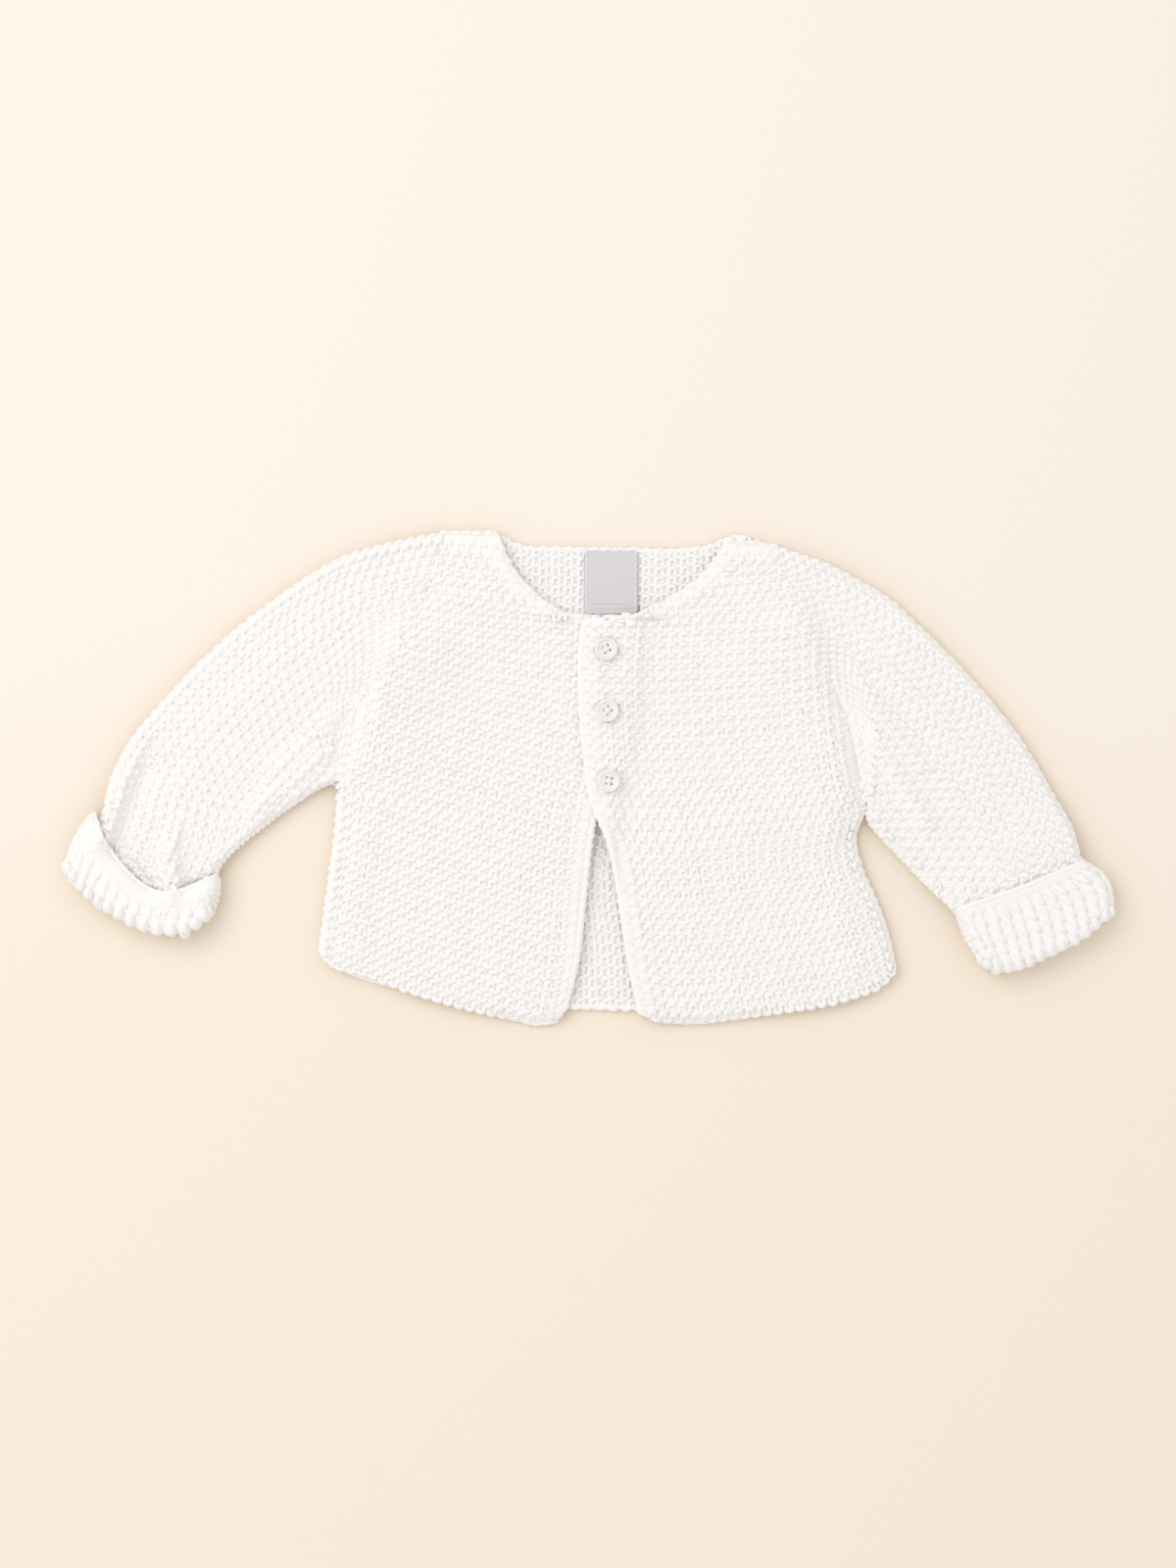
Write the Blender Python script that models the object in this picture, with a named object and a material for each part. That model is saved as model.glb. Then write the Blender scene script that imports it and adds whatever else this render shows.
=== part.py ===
"""Baby cardigan in garter stitch, laid flat on z = 0 with its front up and its hem towards -Y.

Right and left are the wearer's, so the right side lies towards -X. The cloth is one kimono cut: the rows
of the body run on along the sleeves. Tables and sizes are in millimetres and are turned into metres when
a mesh is made.
"""
import math
from collections import namedtuple

import bmesh
import bpy
import numpy as np

MM = 0.001

# Driving sizes, in millimetres
WALL = 3.2              # thickness of the knitted cloth
SEAM_GAP = 0.3          # between pieces that touch
CHORD_SLACK = 0.25      # more room along a curved seam, whose two sides have different points
AIR = 1.8               # how far the fronts stand off the back, past the seam gap
EDGE_SOFTNESS = 22.0    # over which the fronts come down to the back at the side and shoulder
SHOULDER_STANDOFF = 7.7 # how far past the shoulder fold that slope would end
BAND_SLOPE = 13.0       # over which the left front steps up onto the right one
BAND_LEVEL = 4.0        # how far past the right front's edge the left one stays up
BAND_GAP = 0.6          # between the two fronts where they lie on each other
HEM_LEVEL = 2.5         # how far past the hem of the back a front still lies level
HEM_DROP = 6.0          # over which it then comes down to the surface
SLEEVE_HOLLOW = 2.9     # height of the hollow in a flat sleeve
SLEEVE_ROOT = 0.25      # share of a sleeve's length over which the body's hollow turns into its own
CUFF_LEVEL = 20.0       # length of sleeve that lies level on the cuff's lower layer
CUFF_RISE = 34.0        # over which a sleeve climbs onto it
CUFF_BOW = 0.8          # how far the sleeve's end follows the bow of the cuff's fold
EDGE_ROUND = 1.3        # rounding of a knitted edge
FOLD_ROUND = 2.8        # rounding where the front turns down to the back
TURN_DEPTH = 1.3 * WALL # depth of the round turn at a cuff's fold

# Rows of knitting, counted up from the hem
ARMPIT_ROW = 17
NECK_ROW = 36
SHOULDER_ROW = 44
ARMPIT_ROWS = 6         # rows over which a side seam turns into the fold beside a sleeve
HEM_ROWS = 5            # rows over which the fronts come down to the back at the hem
HEM_STANDOFF = 1.5      # how many rows past the hem that slope would end

BUTTON_RADIUS = 5.9
BUTTON_HEIGHT = 2.6
BUTTON_HOLE_RADIUS = 0.85
BUTTON_HOLE_PLACE = 1.3     # each hole's distance from the middle, along X and along Y
BUTTON_PLACES = ((8.5, 66.5), (9.2, 35.2), (9.8, -0.6))

LABEL_SIZE = (28.5, 33.0, 0.6)
LABEL_CENTRE = (11.0, 100.9)

Knot = namedtuple("Knot", "station x y")
Fold = namedtuple("Fold", "x0 y0 x1 y1 height left right")
Sleeve = namedtuple("Sleeve", "side top under turned_edge fold_line cuff_top cuff_under gape folds")

# Side seam up to the armpit, then the fold where the sleeve leaves the body. Station: row.
RIGHT_SIDE = (
    Knot(0, -138.0, -88.0),
    Knot(3, -136.5, -74.0),
    Knot(7, -133.5, -53.0),
    Knot(12, -130.5, -29.0),
    Knot(17, -128.0, -1.0),
    Knot(21, -124.5, 20.0),
    Knot(25, -116.5, 40.0),
    Knot(30, -101.5, 61.5),
    Knot(35, -88.0, 85.0),
    Knot(40, -78.0, 107.5),
    Knot(44, -73.3, 127.3),
)
LEFT_SIDE = (
    Knot(0, 156.0, -95.0),
    Knot(3.3, 152.0, -77.0),
    Knot(6.8, 145.8, -59.5),
    Knot(10.3, 138.5, -42.5),
    Knot(13.3, 135.8, -27.0),
    Knot(17, 140.8, -11.3),
    Knot(19.5, 137.8, 2.0),
    Knot(23, 134.0, 20.5),
    Knot(27, 126.5, 42.5),
    Knot(32, 115.0, 66.5),
    Knot(38, 102.5, 96.0),
    Knot(44, 94.3, 120.2),
)

# Front edges up to the corner of the neck. Station: row.
RIGHT_FRONT_EDGE = (
    Knot(0, -11.8, -117.3),
    Knot(4, -6.0, -94.0),
    Knot(10, -1.8, -60.0),
    Knot(16.5, 2.3, -27.3),
    Knot(23, 10.3, 8.0),
    Knot(30, 16.3, 48.0),
    Knot(36, 18.3, 82.5),
)
LEFT_FRONT_EDGE = (
    Knot(0, 25.3, -118.8),
    Knot(4.7, 19.3, -92.3),
    Knot(9, 15.7, -69.0),
    Knot(13, 12.2, -47.3),
    Knot(16, 8.7, -31.0),
    Knot(19.5, 0.5, -11.0),
    Knot(23.6, -3.5, 12.7),
    Knot(29, -5.6, 42.0),
    Knot(33, -5.9, 65.0),
    Knot(36, -4.2, 80.5),
)

# Front neck, from the corner at the front edge to the shoulder. Station: row.
RIGHT_NECK = (
    Knot(36, 18.3, 82.5),
    Knot(36.7, -5.8, 83.5),
    Knot(37.8, -20.8, 90.0),
    Knot(39.2, -30.8, 98.7),
    Knot(41.6, -40.3, 112.0),
    Knot(44, -46.8, 127.3),
)
LEFT_NECK = (
    Knot(36, -4.2, 80.5),
    Knot(36.6, 19.2, 82.5),
    Knot(37.5, 31.8, 87.3),
    Knot(38.8, 44.5, 94.0),
    Knot(40.4, 55.3, 102.5),
    Knot(42, 63.3, 111.5),
    Knot(44, 70.3, 124.3),
)

# Hems. Station: share of the way from the side to the front edge, or to the other side on the back.
RIGHT_HEM = (
    Knot(0, -138.0, -88.0),
    Knot(0.06, -132.5, -95.0),
    Knot(0.2, -112.0, -102.0),
    Knot(0.4, -87.0, -111.0),
    Knot(0.6, -62.0, -118.2),
    Knot(0.8, -36.0, -124.8),
    Knot(0.9, -25.0, -126.5),
    Knot(0.96, -17.5, -124.2),
    Knot(1, -11.8, -117.3),
)
LEFT_HEM = (
    Knot(0, 156.0, -95.0),
    Knot(0.05, 154.5, -101.5),
    Knot(0.1, 149.0, -106.8),
    Knot(0.2, 135.0, -112.3),
    Knot(0.42, 104.0, -118.8),
    Knot(0.63, 74.0, -123.8),
    Knot(0.82, 49.0, -125.8),
    Knot(0.94, 32.5, -123.5),
    Knot(1, 25.3, -118.8),
)
BACK_HEM = (
    Knot(0, -138.0, -88.0),
    Knot(0.05, -130.0, -95.5),
    Knot(0.25, -75.0, -111.0),
    Knot(0.5, 2.0, -117.6),
    Knot(0.75, 80.0, -115.5),
    Knot(0.93, 138.0, -106.5),
    Knot(1, 156.0, -95.0),
)

# Shoulders and back neck, from the right sleeve to the left one. Station: share of the way.
BACK_TOP = (
    Knot(0, -73.3, 127.3),
    Knot(0.07, -60.0, 127.3),
    Knot(0.14, -47.5, 125.8),
    Knot(0.2, -38.0, 121.0),
    Knot(0.35, -14.0, 119.0),
    Knot(0.55, 18.0, 118.5),
    Knot(0.75, 50.0, 118.5),
    Knot(0.84, 64.5, 121.0),
    Knot(0.88, 71.0, 124.5),
    Knot(1, 94.3, 120.2),
)

# Soft ridges (height over 0) and creases (under 0) of the upper layer. A fold runs from its start to its
# end, and "left" and "right" are how far it spreads to either hand of that way.
BODY_FOLDS = (
    Fold(-114.0, 10.0, -98.0, 66.0, 4.4, 8.0, 30.0),
    Fold(-100.0, 62.0, -62.0, 92.0, 2.0, 16.0, 24.0),
    Fold(128.0, -2.0, 110.0, 74.0, 4.4, 34.0, 8.0),
    Fold(112.0, 70.0, 84.0, 100.0, 1.6, 24.0, 14.0),
    Fold(-120.0, -28.0, -122.0, -84.0, 1.5, 14.0, 14.0),
    Fold(126.0, -30.0, 140.0, -90.0, 1.5, 14.0, 14.0),
)

RIGHT_SLEEVE = Sleeve(
    side=RIGHT_SIDE,
    top=(                               # Station: share of the sleeve's length
        Knot(0, -73.3, 127.3),
        Knot(0.1, -100.8, 121.3),
        Knot(0.2, -125.8, 113.8),
        Knot(0.31, -150.8, 99.3),
        Knot(0.42, -175.8, 80.8),
        Knot(0.55, -200.8, 58.3),
        Knot(0.66, -221.8, 35.8),
        Knot(0.75, -235.8, 17.8),
        Knot(0.82, -244.3, 0.3),
        Knot(0.88, -247.8, -15.0),
        Knot(1, -262.0, -44.0),
    ),
    under=(
        Knot(0, -128.0, -1.0),
        Knot(0.25, -133.5, -3.0),
        Knot(0.45, -141.0, -6.5),
        Knot(0.6, -155.0, -15.0),
        Knot(0.72, -171.8, -27.0),
        Knot(0.82, -185.5, -38.5),
        Knot(0.9, -191.5, -48.5),
        Knot(1, -197.5, -64.0),
    ),
    turned_edge=(                       # Station: share of the way from the top to the seam
        Knot(0, -252.0, -14.0),
        Knot(0.22, -241.8, -36.0),
        Knot(0.48, -224.5, -54.0),
        Knot(0.66, -213.0, -56.3),
        Knot(0.84, -199.5, -51.8),
        Knot(1, -188.5, -47.0),
    ),
    fold_line=(
        Knot(0, -268.5, -43.5),
        Knot(0.15, -260.5, -56.5),
        Knot(0.4, -241.5, -71.0),
        Knot(0.65, -220.0, -80.0),
        Knot(0.85, -202.5, -78.0),
        Knot(1, -193.0, -66.5),
    ),
    cuff_top=(                          # Station: share of the cuff's depth, from its turned edge
        Knot(0, -252.0, -14.0),
        Knot(0.5, -263.0, -28.0),
        Knot(1, -268.5, -43.5),
    ),
    cuff_under=(
        Knot(0, -188.5, -47.0),
        Knot(0.5, -189.0, -57.0),
        Knot(1, -193.0, -66.5),
    ),
    gape=4.0,
    folds=(
        Fold(-228.0, 24.0, -248.0, -30.0, 3.0, 5.0, 5.0),
        Fold(-226.0, 4.0, -241.0, -37.0, -3.2, 5.0, 4.0),
        Fold(-241.0, -37.0, -224.0, -55.0, -3.2, 5.0, 5.0),
        Fold(-207.0, -57.0, -191.0, -49.5, -2.6, 4.0, 4.0),
        Fold(-212.0, -26.0, -210.5, -58.0, 2.6, 4.5, 4.5),
        Fold(-134.0, 14.0, -168.0, -14.0, 2.2, 5.0, 5.0),
        Fold(-128.0, 34.0, -160.0, 4.0, 1.6, 5.0, 5.0),
        Fold(-150.0, 62.0, -206.0, 2.0, 1.6, 18.0, 18.0),
    ),
)
LEFT_SLEEVE = Sleeve(
    side=LEFT_SIDE,
    top=(
        Knot(0, 94.3, 120.2),
        Knot(0.1, 119.3, 111.3),
        Knot(0.19, 137.0, 102.3),
        Knot(0.26, 152.0, 93.3),
        Knot(0.36, 170.0, 77.0),
        Knot(0.46, 187.5, 59.5),
        Knot(0.55, 203.5, 42.0),
        Knot(0.66, 221.8, 18.3),
        Knot(0.78, 237.0, -8.0),
        Knot(0.87, 246.5, -25.5),
        Knot(0.93, 250.5, -38.5),
        Knot(1, 260.5, -63.0),
    ),
    under=(
        Knot(0, 140.8, -11.3),
        Knot(0.3, 142.8, -19.0),
        Knot(0.52, 146.5, -27.5),
        Knot(0.64, 156.5, -38.0),
        Knot(0.76, 169.5, -51.0),
        Knot(0.86, 183.0, -63.5),
        Knot(0.92, 191.0, -71.5),
        Knot(1, 203.5, -88.0),
    ),
    turned_edge=(
        Knot(0, 252.5, -40.5),
        Knot(0.3, 232.5, -48.3),
        Knot(0.55, 217.0, -54.5),
        Knot(0.8, 199.0, -60.5),
        Knot(1, 185.5, -66.0),
    ),
    fold_line=(
        Knot(0, 268.5, -67.0),
        Knot(0.2, 253.0, -81.0),
        Knot(0.5, 231.0, -92.5),
        Knot(0.75, 214.5, -98.8),
        Knot(0.9, 205.0, -97.3),
        Knot(1, 199.5, -91.0),
    ),
    cuff_top=(
        Knot(0, 252.5, -40.5),
        Knot(0.5, 264.5, -50.0),
        Knot(1, 268.5, -67.0),
    ),
    cuff_under=(
        Knot(0, 185.5, -66.0),
        Knot(0.5, 191.0, -79.5),
        Knot(1, 199.5, -91.0),
    ),
    gape=0.8,
    folds=(
        Fold(146.0, 22.0, 172.0, -22.0, 2.2, 5.0, 5.0),
        Fold(138.0, 50.0, 168.0, 6.0, 1.6, 5.0, 5.0),
        Fold(160.0, 66.0, 222.0, -30.0, 1.6, 18.0, 18.0),
    ),
)

# How the rim of a panel is rounded, from its upper face to its lower one: inset, share of the wall's height
RIMS = {
    "edge": ((EDGE_ROUND, 1.0), (0.3, 0.78), (0.3, 0.22), (EDGE_ROUND, 0.0)),
    "front_fold": ((FOLD_ROUND, 1.0), (0.9, 0.75), (0.1, 0.35), (0.0, 0.0)),
    "back_fold": ((0.0, 1.0), (0.1, 0.65), (0.9, 0.25), (FOLD_ROUND, 0.0)),
    "joint": ((0.0, 1.0), (0.0, 0.67), (0.0, 0.33), (0.0, 0.0)),
}

KNIT = ("knit", (0.93, 0.91, 0.88), 0.9)
WOVEN = ("woven label", (0.72, 0.71, 0.76), 0.65)
BUTTON = ("button", (0.92, 0.9, 0.87), 0.35)


def smooth(share):
    """0 up to a share of 0, 1 from a share of 1, and an even slope between."""
    share = min(max(share, 0.0), 1.0)
    return share * share * (3.0 - 2.0 * share)


def curve(knots):
    """A smooth curve through the knots, as a function of the station."""
    table = np.array(knots, float)
    stations, points = table[:, 0], table[:, 1:]
    slopes = np.gradient(points, stations, axis=0)

    def at(station):
        station = min(max(station, stations[0]), stations[-1])
        low = min(int(np.searchsorted(stations, station, side="right")) - 1, len(stations) - 2)
        span = stations[low + 1] - stations[low]
        w = (station - stations[low]) / span
        start = points[low] * (2 * w**3 - 3 * w**2 + 1) + slopes[low] * span * (w**3 - 2 * w**2 + w)
        end = points[low + 1] * (3 * w**2 - 2 * w**3) + slopes[low + 1] * span * (w**3 - w**2)
        return start + end

    return at


def joined(lower, upper, station):
    """Two curves that meet in a corner at the station."""
    return lambda at: lower(at) if at <= station else upper(at)


def patch(first, last, start, end):
    """A surface between four curves: first and last run across it, start and end run along it.

    All four are functions of a share from 0 to 1. The surface is a function of (along, across).
    """
    corners = (start(0.0), start(1.0), end(0.0), end(1.0))

    def at(along, across):
        sides = (1 - along) * first(across) + along * last(across)
        ends = (1 - across) * start(along) + across * end(along)
        near = (1 - along) * corners[0] + along * corners[1]
        far = (1 - along) * corners[2] + along * corners[3]
        return sides + ends - (1 - across) * near - across * far

    return at


def fold_lift(folds, x, y):
    """Height that the folds add to the upper layer at a place."""
    total = 0.0
    for fold in folds:
        run = np.array([fold.x1 - fold.x0, fold.y1 - fold.y0])
        length = float(np.hypot(*run))
        run /= length
        along = float((x - fold.x0) * run[0] + (y - fold.y0) * run[1])
        to_left = float((y - fold.y0) * run[0] - (x - fold.x0) * run[1])
        spread = fold.left if to_left > 0 else fold.right
        past_end = max(-along, along - length, 0.0)
        end_spread = 0.5 * (fold.left + fold.right)
        total += fold.height * math.exp(-((to_left / spread) ** 2) - (past_end / end_spread) ** 2)
    return total


def distance_to(curve_points, x, y):
    """Distance from a place to a curve given by its points, under 0 to the right of its way."""
    starts, ends = curve_points[:-1], curve_points[1:]
    runs = ends - starts
    place = np.array([x, y])
    share = np.clip(np.sum((place - starts) * runs, axis=1) / np.sum(runs * runs, axis=1), 0.0, 1.0)
    offset = place - (starts + runs * share[:, None])
    gaps = np.hypot(offset[:, 0], offset[:, 1])
    nearest = int(np.argmin(gaps))
    turn = runs[nearest][0] * offset[nearest][1] - runs[nearest][1] * offset[nearest][0]
    return math.copysign(gaps[nearest], turn)


right_edge = joined(curve(RIGHT_FRONT_EDGE), curve(RIGHT_NECK), NECK_ROW)
left_edge = joined(curve(LEFT_FRONT_EDGE), curve(LEFT_NECK), NECK_ROW)
right_edge_points = np.array([right_edge(row) for row in np.linspace(0, NECK_ROW, 37)])
back_hem_points = np.array([curve(BACK_HEM)(share) for share in np.linspace(0, 1, 41)])


def standoff(x, y, side_distance, top_distance, row):
    """Clear height between the back and a front at a place."""
    beside_sleeve = smooth(0.5 + (row - ARMPIT_ROW) / ARMPIT_ROWS)
    from_side = smooth(side_distance / EDGE_SOFTNESS) * (1 - beside_sleeve) + beside_sleeve
    from_top = smooth((top_distance + SHOULDER_STANDOFF) / EDGE_SOFTNESS)
    from_hem = smooth((row + HEM_STANDOFF) / HEM_ROWS)
    return SEAM_GAP + (AIR + fold_lift(BODY_FOLDS, x, y)) * from_side * from_top * from_hem


def make_object(name, vertices, faces, finish, smooth_faces=True):
    """A closed mesh, given in millimetres, as an object in metres with its own material."""
    mesh = bpy.data.meshes.new(name)
    mesh.from_pydata([tuple(c * MM for c in vertex) for vertex in vertices], [], faces)
    shape = bmesh.new()
    shape.from_mesh(mesh)
    bmesh.ops.recalc_face_normals(shape, faces=shape.faces)
    shape.to_mesh(mesh)
    shape.free()
    if smooth_faces:
        mesh.shade_smooth()
        mesh.set_sharp_from_angle(angle=math.radians(50))
    made = bpy.data.objects.new(name, mesh)
    bpy.context.scene.collection.objects.link(made)
    add_finish(made, finish)
    return made


def add_finish(made, finish):
    label, colour, roughness = finish
    material = bpy.data.materials.new(f"{made.name} {label}")
    material.use_nodes = True
    shader = material.node_tree.nodes["Principled BSDF"]
    shader.inputs["Base Color"].default_value = (*colour, 1.0)
    shader.inputs["Roughness"].default_value = roughness
    shader.inputs["Metallic"].default_value = 0.0
    made.data.materials.append(material)


def border_of(columns, rows):
    """The outer vertices of a grid, in one turn: hem, far edge, top and near edge."""
    hem = [(0, i) for i in range(columns)]
    far = [(j, columns) for j in range(rows)]
    top = [(rows, i) for i in range(columns, 0, -1)]
    near = [(j, 0) for j in range(rows, 0, -1)]
    return hem + far + top + near


def make_panel(name, plan, heights, rim_of):
    """A closed wall over a grid of plan points.

    plan[row][column] is (x, y), heights(row, column) gives the lower and upper face there, and
    rim_of(row, column) names the rounding of a border vertex.
    """
    rows, columns = len(plan) - 1, len(plan[0]) - 1
    border = border_of(columns, rows)
    loop = np.array([plan[j][i] for j, i in border])
    ahead, behind = np.roll(loop, -1, axis=0), np.roll(loop, 1, axis=0)
    turn = np.sum(loop[:, 0] * ahead[:, 1] - ahead[:, 0] * loop[:, 1])
    tangent = ahead - behind
    tangent /= np.hypot(tangent[:, 0], tangent[:, 1])[:, None]
    outward = np.column_stack((tangent[:, 1], -tangent[:, 0])) * math.copysign(1.0, turn)

    vertices, faces = [], []
    rings = [[] for _ in range(4)]
    for (j, i), place, normal in zip(border, loop, outward):
        low, high = heights(j, i)
        for ring, (inset, share) in zip(rings, RIMS[rim_of(j, i)]):
            x, y = place - normal * inset
            ring.append(len(vertices))
            vertices.append((x, y, low + share * (high - low)))
    for upper, lower in zip(rings[:-1], rings[1:]):
        for k in range(len(border)):
            after = (k + 1) % len(border)
            faces.append((upper[k], upper[after], lower[after], lower[k]))
    for ring, face_side in ((rings[0], 1), (rings[-1], 0)):
        index = dict(zip(border, ring))
        for j in range(1, rows):
            for i in range(1, columns):
                index[(j, i)] = len(vertices)
                vertices.append((*plan[j][i], heights(j, i)[face_side]))
        for j in range(rows):
            for i in range(columns):
                faces.append((index[(j, i)], index[(j, i + 1)], index[(j + 1, i + 1)], index[(j + 1, i)]))
    return make_object(name, vertices, faces, KNIT)


def plan_grid(side, edge, hem, top, row_stations, columns):
    """Plan points from the side (column 0) to the far edge, with a row of points at each row station."""
    total = row_stations[-1]
    surface = patch(hem, top, lambda share: side(share * total), lambda share: edge(share * total))
    return [[surface(row / total, i / columns) for i in range(columns + 1)] for row in row_stations]


def draw_in(plan, column, amount):
    """Move one side of a plan grid inwards along its rows, to leave a seam gap."""
    inner = 1 if column == 0 else len(plan[0]) - 2
    for points in plan:
        inward = points[inner] - points[column]
        points[column] = points[column] + inward * (amount / np.hypot(*inward))


def make_front(name, side, edge, hem, over):
    """A front from its hem to the shoulder. The one that is over steps up onto the other.

    The rows of points are closest at the hem and where the neck turns its corner.
    """
    columns = 16
    row_stations = [0, 0.6, 1.3, 3, 5.5, 8.5, 11.5, 14.5, 17, 19.5, 22, 24.5, 27, 29.5, 32, 34.2, 36,
                    36.25, 36.5, 36.8, 37.4, 38.2, 39.4, 41, 42.6, 44]
    shoulder = lambda share: (1 - share) * side(SHOULDER_ROW) + share * edge(SHOULDER_ROW)
    plan = plan_grid(side, edge, hem, shoulder, row_stations, columns)
    draw_in(plan, 0, SEAM_GAP + CHORD_SLACK)

    def heights(j, i):
        x, y = plan[j][i]
        side_distance = np.hypot(*(plan[j][i] - plan[j][0]))
        top_distance = np.hypot(*(plan[j][i] - plan[-1][i]))
        low = WALL + standoff(x, y, side_distance, top_distance, row_stations[j])
        if over:
            past_edge = -distance_to(right_edge_points, x, y)
            low += (WALL + BAND_GAP) * (1 - smooth((past_edge - BAND_LEVEL) / BAND_SLOPE))
        past_hem = -distance_to(back_hem_points, x, y)
        low -= WALL * smooth((past_hem - HEM_LEVEL) / HEM_DROP)
        return low, low + WALL

    def rim_of(j, i):
        if i == 0:
            return "front_fold" if row_stations[j] < ARMPIT_ROW else "joint"
        if j == len(row_stations) - 1 and i < columns:
            return "front_fold"
        return "edge"

    return make_panel(name, plan, heights, rim_of)


def make_back():
    """The back, flat on the surface, from the hem to the shoulders and the back neck."""
    columns = 24
    row_stations = [0, 2, 5, 8.5, 12, 15, 17, 19.5, 23, 27, 31, 35, 39, 42, 44]
    plan = plan_grid(curve(RIGHT_SIDE), curve(LEFT_SIDE), curve(BACK_HEM), curve(BACK_TOP),
                     row_stations, columns)
    draw_in(plan, 0, SEAM_GAP + CHORD_SLACK)
    draw_in(plan, columns, SEAM_GAP + CHORD_SLACK)
    neck = (curve(RIGHT_NECK)(SHOULDER_ROW)[0], curve(LEFT_NECK)(SHOULDER_ROW)[0])

    def rim_of(j, i):
        if i in (0, columns):
            return "back_fold" if row_stations[j] < ARMPIT_ROW else "joint"
        if j == len(row_stations) - 1 and not neck[0] < plan[j][i][0] < neck[1]:
            return "back_fold"
        return "edge"

    return make_panel("back", plan, lambda j, i: (0.0, WALL), rim_of)


def ring_points(flat_steps, cap_steps):
    """Places round a flattened tube: how far across its core (-1 to 1) and the angle off it."""
    upper = [(-1 + 2 * k / flat_steps, math.pi / 2) for k in range(flat_steps + 1)]
    far_cap = [(1.0, math.pi / 2 - math.pi * k / cap_steps) for k in range(1, cap_steps)]
    lower = [(1 - 2 * k / flat_steps, -math.pi / 2) for k in range(flat_steps + 1)]
    near_cap = [(-1.0, -math.pi / 2 - math.pi * k / cap_steps) for k in range(1, cap_steps)]
    return upper + far_cap + lower + near_cap


def make_sleeve(name, sleeve):
    """A flattened tube whose end is turned back over itself as a cuff, all one wall.

    The wall is followed once round its cut edge: out along the sleeve's outer face, back inside the cuff,
    round the turned edge, out along the cuff, round the fold and back inside the sleeve. Each step of
    that way is one ring.
    """
    pocket = SEAM_GAP
    cuff_level = 2 * WALL + pocket
    body_hollow = SEAM_GAP + AIR
    side, top, under = curve(sleeve.side), curve(sleeve.top), curve(sleeve.under)
    turned_edge, fold_line = curve(sleeve.turned_edge), curve(sleeve.fold_line)
    body_side = lambda across: side(SHOULDER_ROW - across * (SHOULDER_ROW - ARMPIT_ROW))

    def sleeve_end(across):
        bow = fold_line(across) - (1 - across) * fold_line(0.0) - across * fold_line(1.0)
        return (1 - across) * top(1.0) + across * under(1.0) + CUFF_BOW * bow

    sleeve_plan = patch(body_side, sleeve_end, top, under)
    cuff_plan = patch(turned_edge, fold_line, curve(sleeve.cuff_top), curve(sleeve.cuff_under))
    sleeve_length = np.hypot(*(sleeve_end(0.5) - body_side(0.5)))

    def ring(on_cuff, along, level, gape):
        """One ring: on_cuff picks the plan, level is the depth in the layers, from the hollow outwards."""
        plan, outer_level = (cuff_plan, cuff_level) if on_cuff else (sleeve_plan, WALL)
        width = np.hypot(*(plan(along, 1.0) - plan(along, 0.0)))
        from_root = 1.0 if on_cuff else smooth(along / SLEEVE_ROOT)
        hollow = body_hollow + (SLEEVE_HOLLOW - body_hollow) * from_root
        to_end = 0.0 if on_cuff else (1 - along) * sleeve_length
        base = (WALL + pocket) * (1 - smooth((to_end - CUFF_LEVEL) / CUFF_RISE))
        core_height = base + WALL + 0.5 * hollow
        radius = 0.5 * hollow + level
        core_half = 0.5 * width - (0.5 * hollow + outer_level)
        made = []
        for core, angle in ring_points(10, 5):
            across = 0.5 + (core * core_half + radius * math.cos(angle)) / width
            x, y = plan(along, across)
            upper = max(0.0, math.sin(angle))
            lift = fold_lift(sleeve.folds, x, y) + fold_lift(BODY_FOLDS, x, y)
            away_from_edges = 1 - (2 * across - 1) ** 6
            lift = max(lift, SEAM_GAP - hollow) * away_from_edges + gape
            made.append((x, y, core_height + radius * math.sin(angle) + upper * lift))
        return made

    fold_start = 1 - TURN_DEPTH / sleeve_length
    cuff_depth = np.hypot(*(fold_line(0.5) - turned_edge(0.5)))
    cuff_fold_start = 1 - TURN_DEPTH / cuff_depth
    turned_at = EDGE_ROUND / cuff_depth
    rings = [ring(False, along, WALL, 0.0) for along in np.linspace(0, fold_start, 19)]
    for share in (0.8, 0.45, 0.1):
        along = turned_at + share * (cuff_fold_start - turned_at)
        rings.append(ring(True, along, WALL + pocket, sleeve.gape * (1 - share)))
    rings.append(ring(True, 0.0, WALL + pocket + 0.25 * WALL, sleeve.gape))
    rings.append(ring(True, 0.0, WALL + pocket + 0.75 * WALL, sleeve.gape))
    for share in (0.05, 0.3, 0.6, 0.95):
        rings.append(ring(True, share, cuff_level, sleeve.gape * (1 - share)))
    rings.append(ring(True, 1.0, 0.75 * cuff_level, 0.0))
    rings.append(ring(True, 1.0, 0.3 * cuff_level, 0.0))
    rings += [ring(False, along, 0.0, 0.0) for along in np.linspace(fold_start, 0, 17)]

    around = len(rings[0])
    vertices = [point for made in rings for point in made]
    faces = []
    for r in range(len(rings)):
        near, far = r * around, ((r + 1) % len(rings)) * around
        for k in range(around):
            after = (k + 1) % around
            faces.append((near + k, near + after, far + after, far + k))
    return make_object(name, vertices, faces, KNIT)


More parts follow.
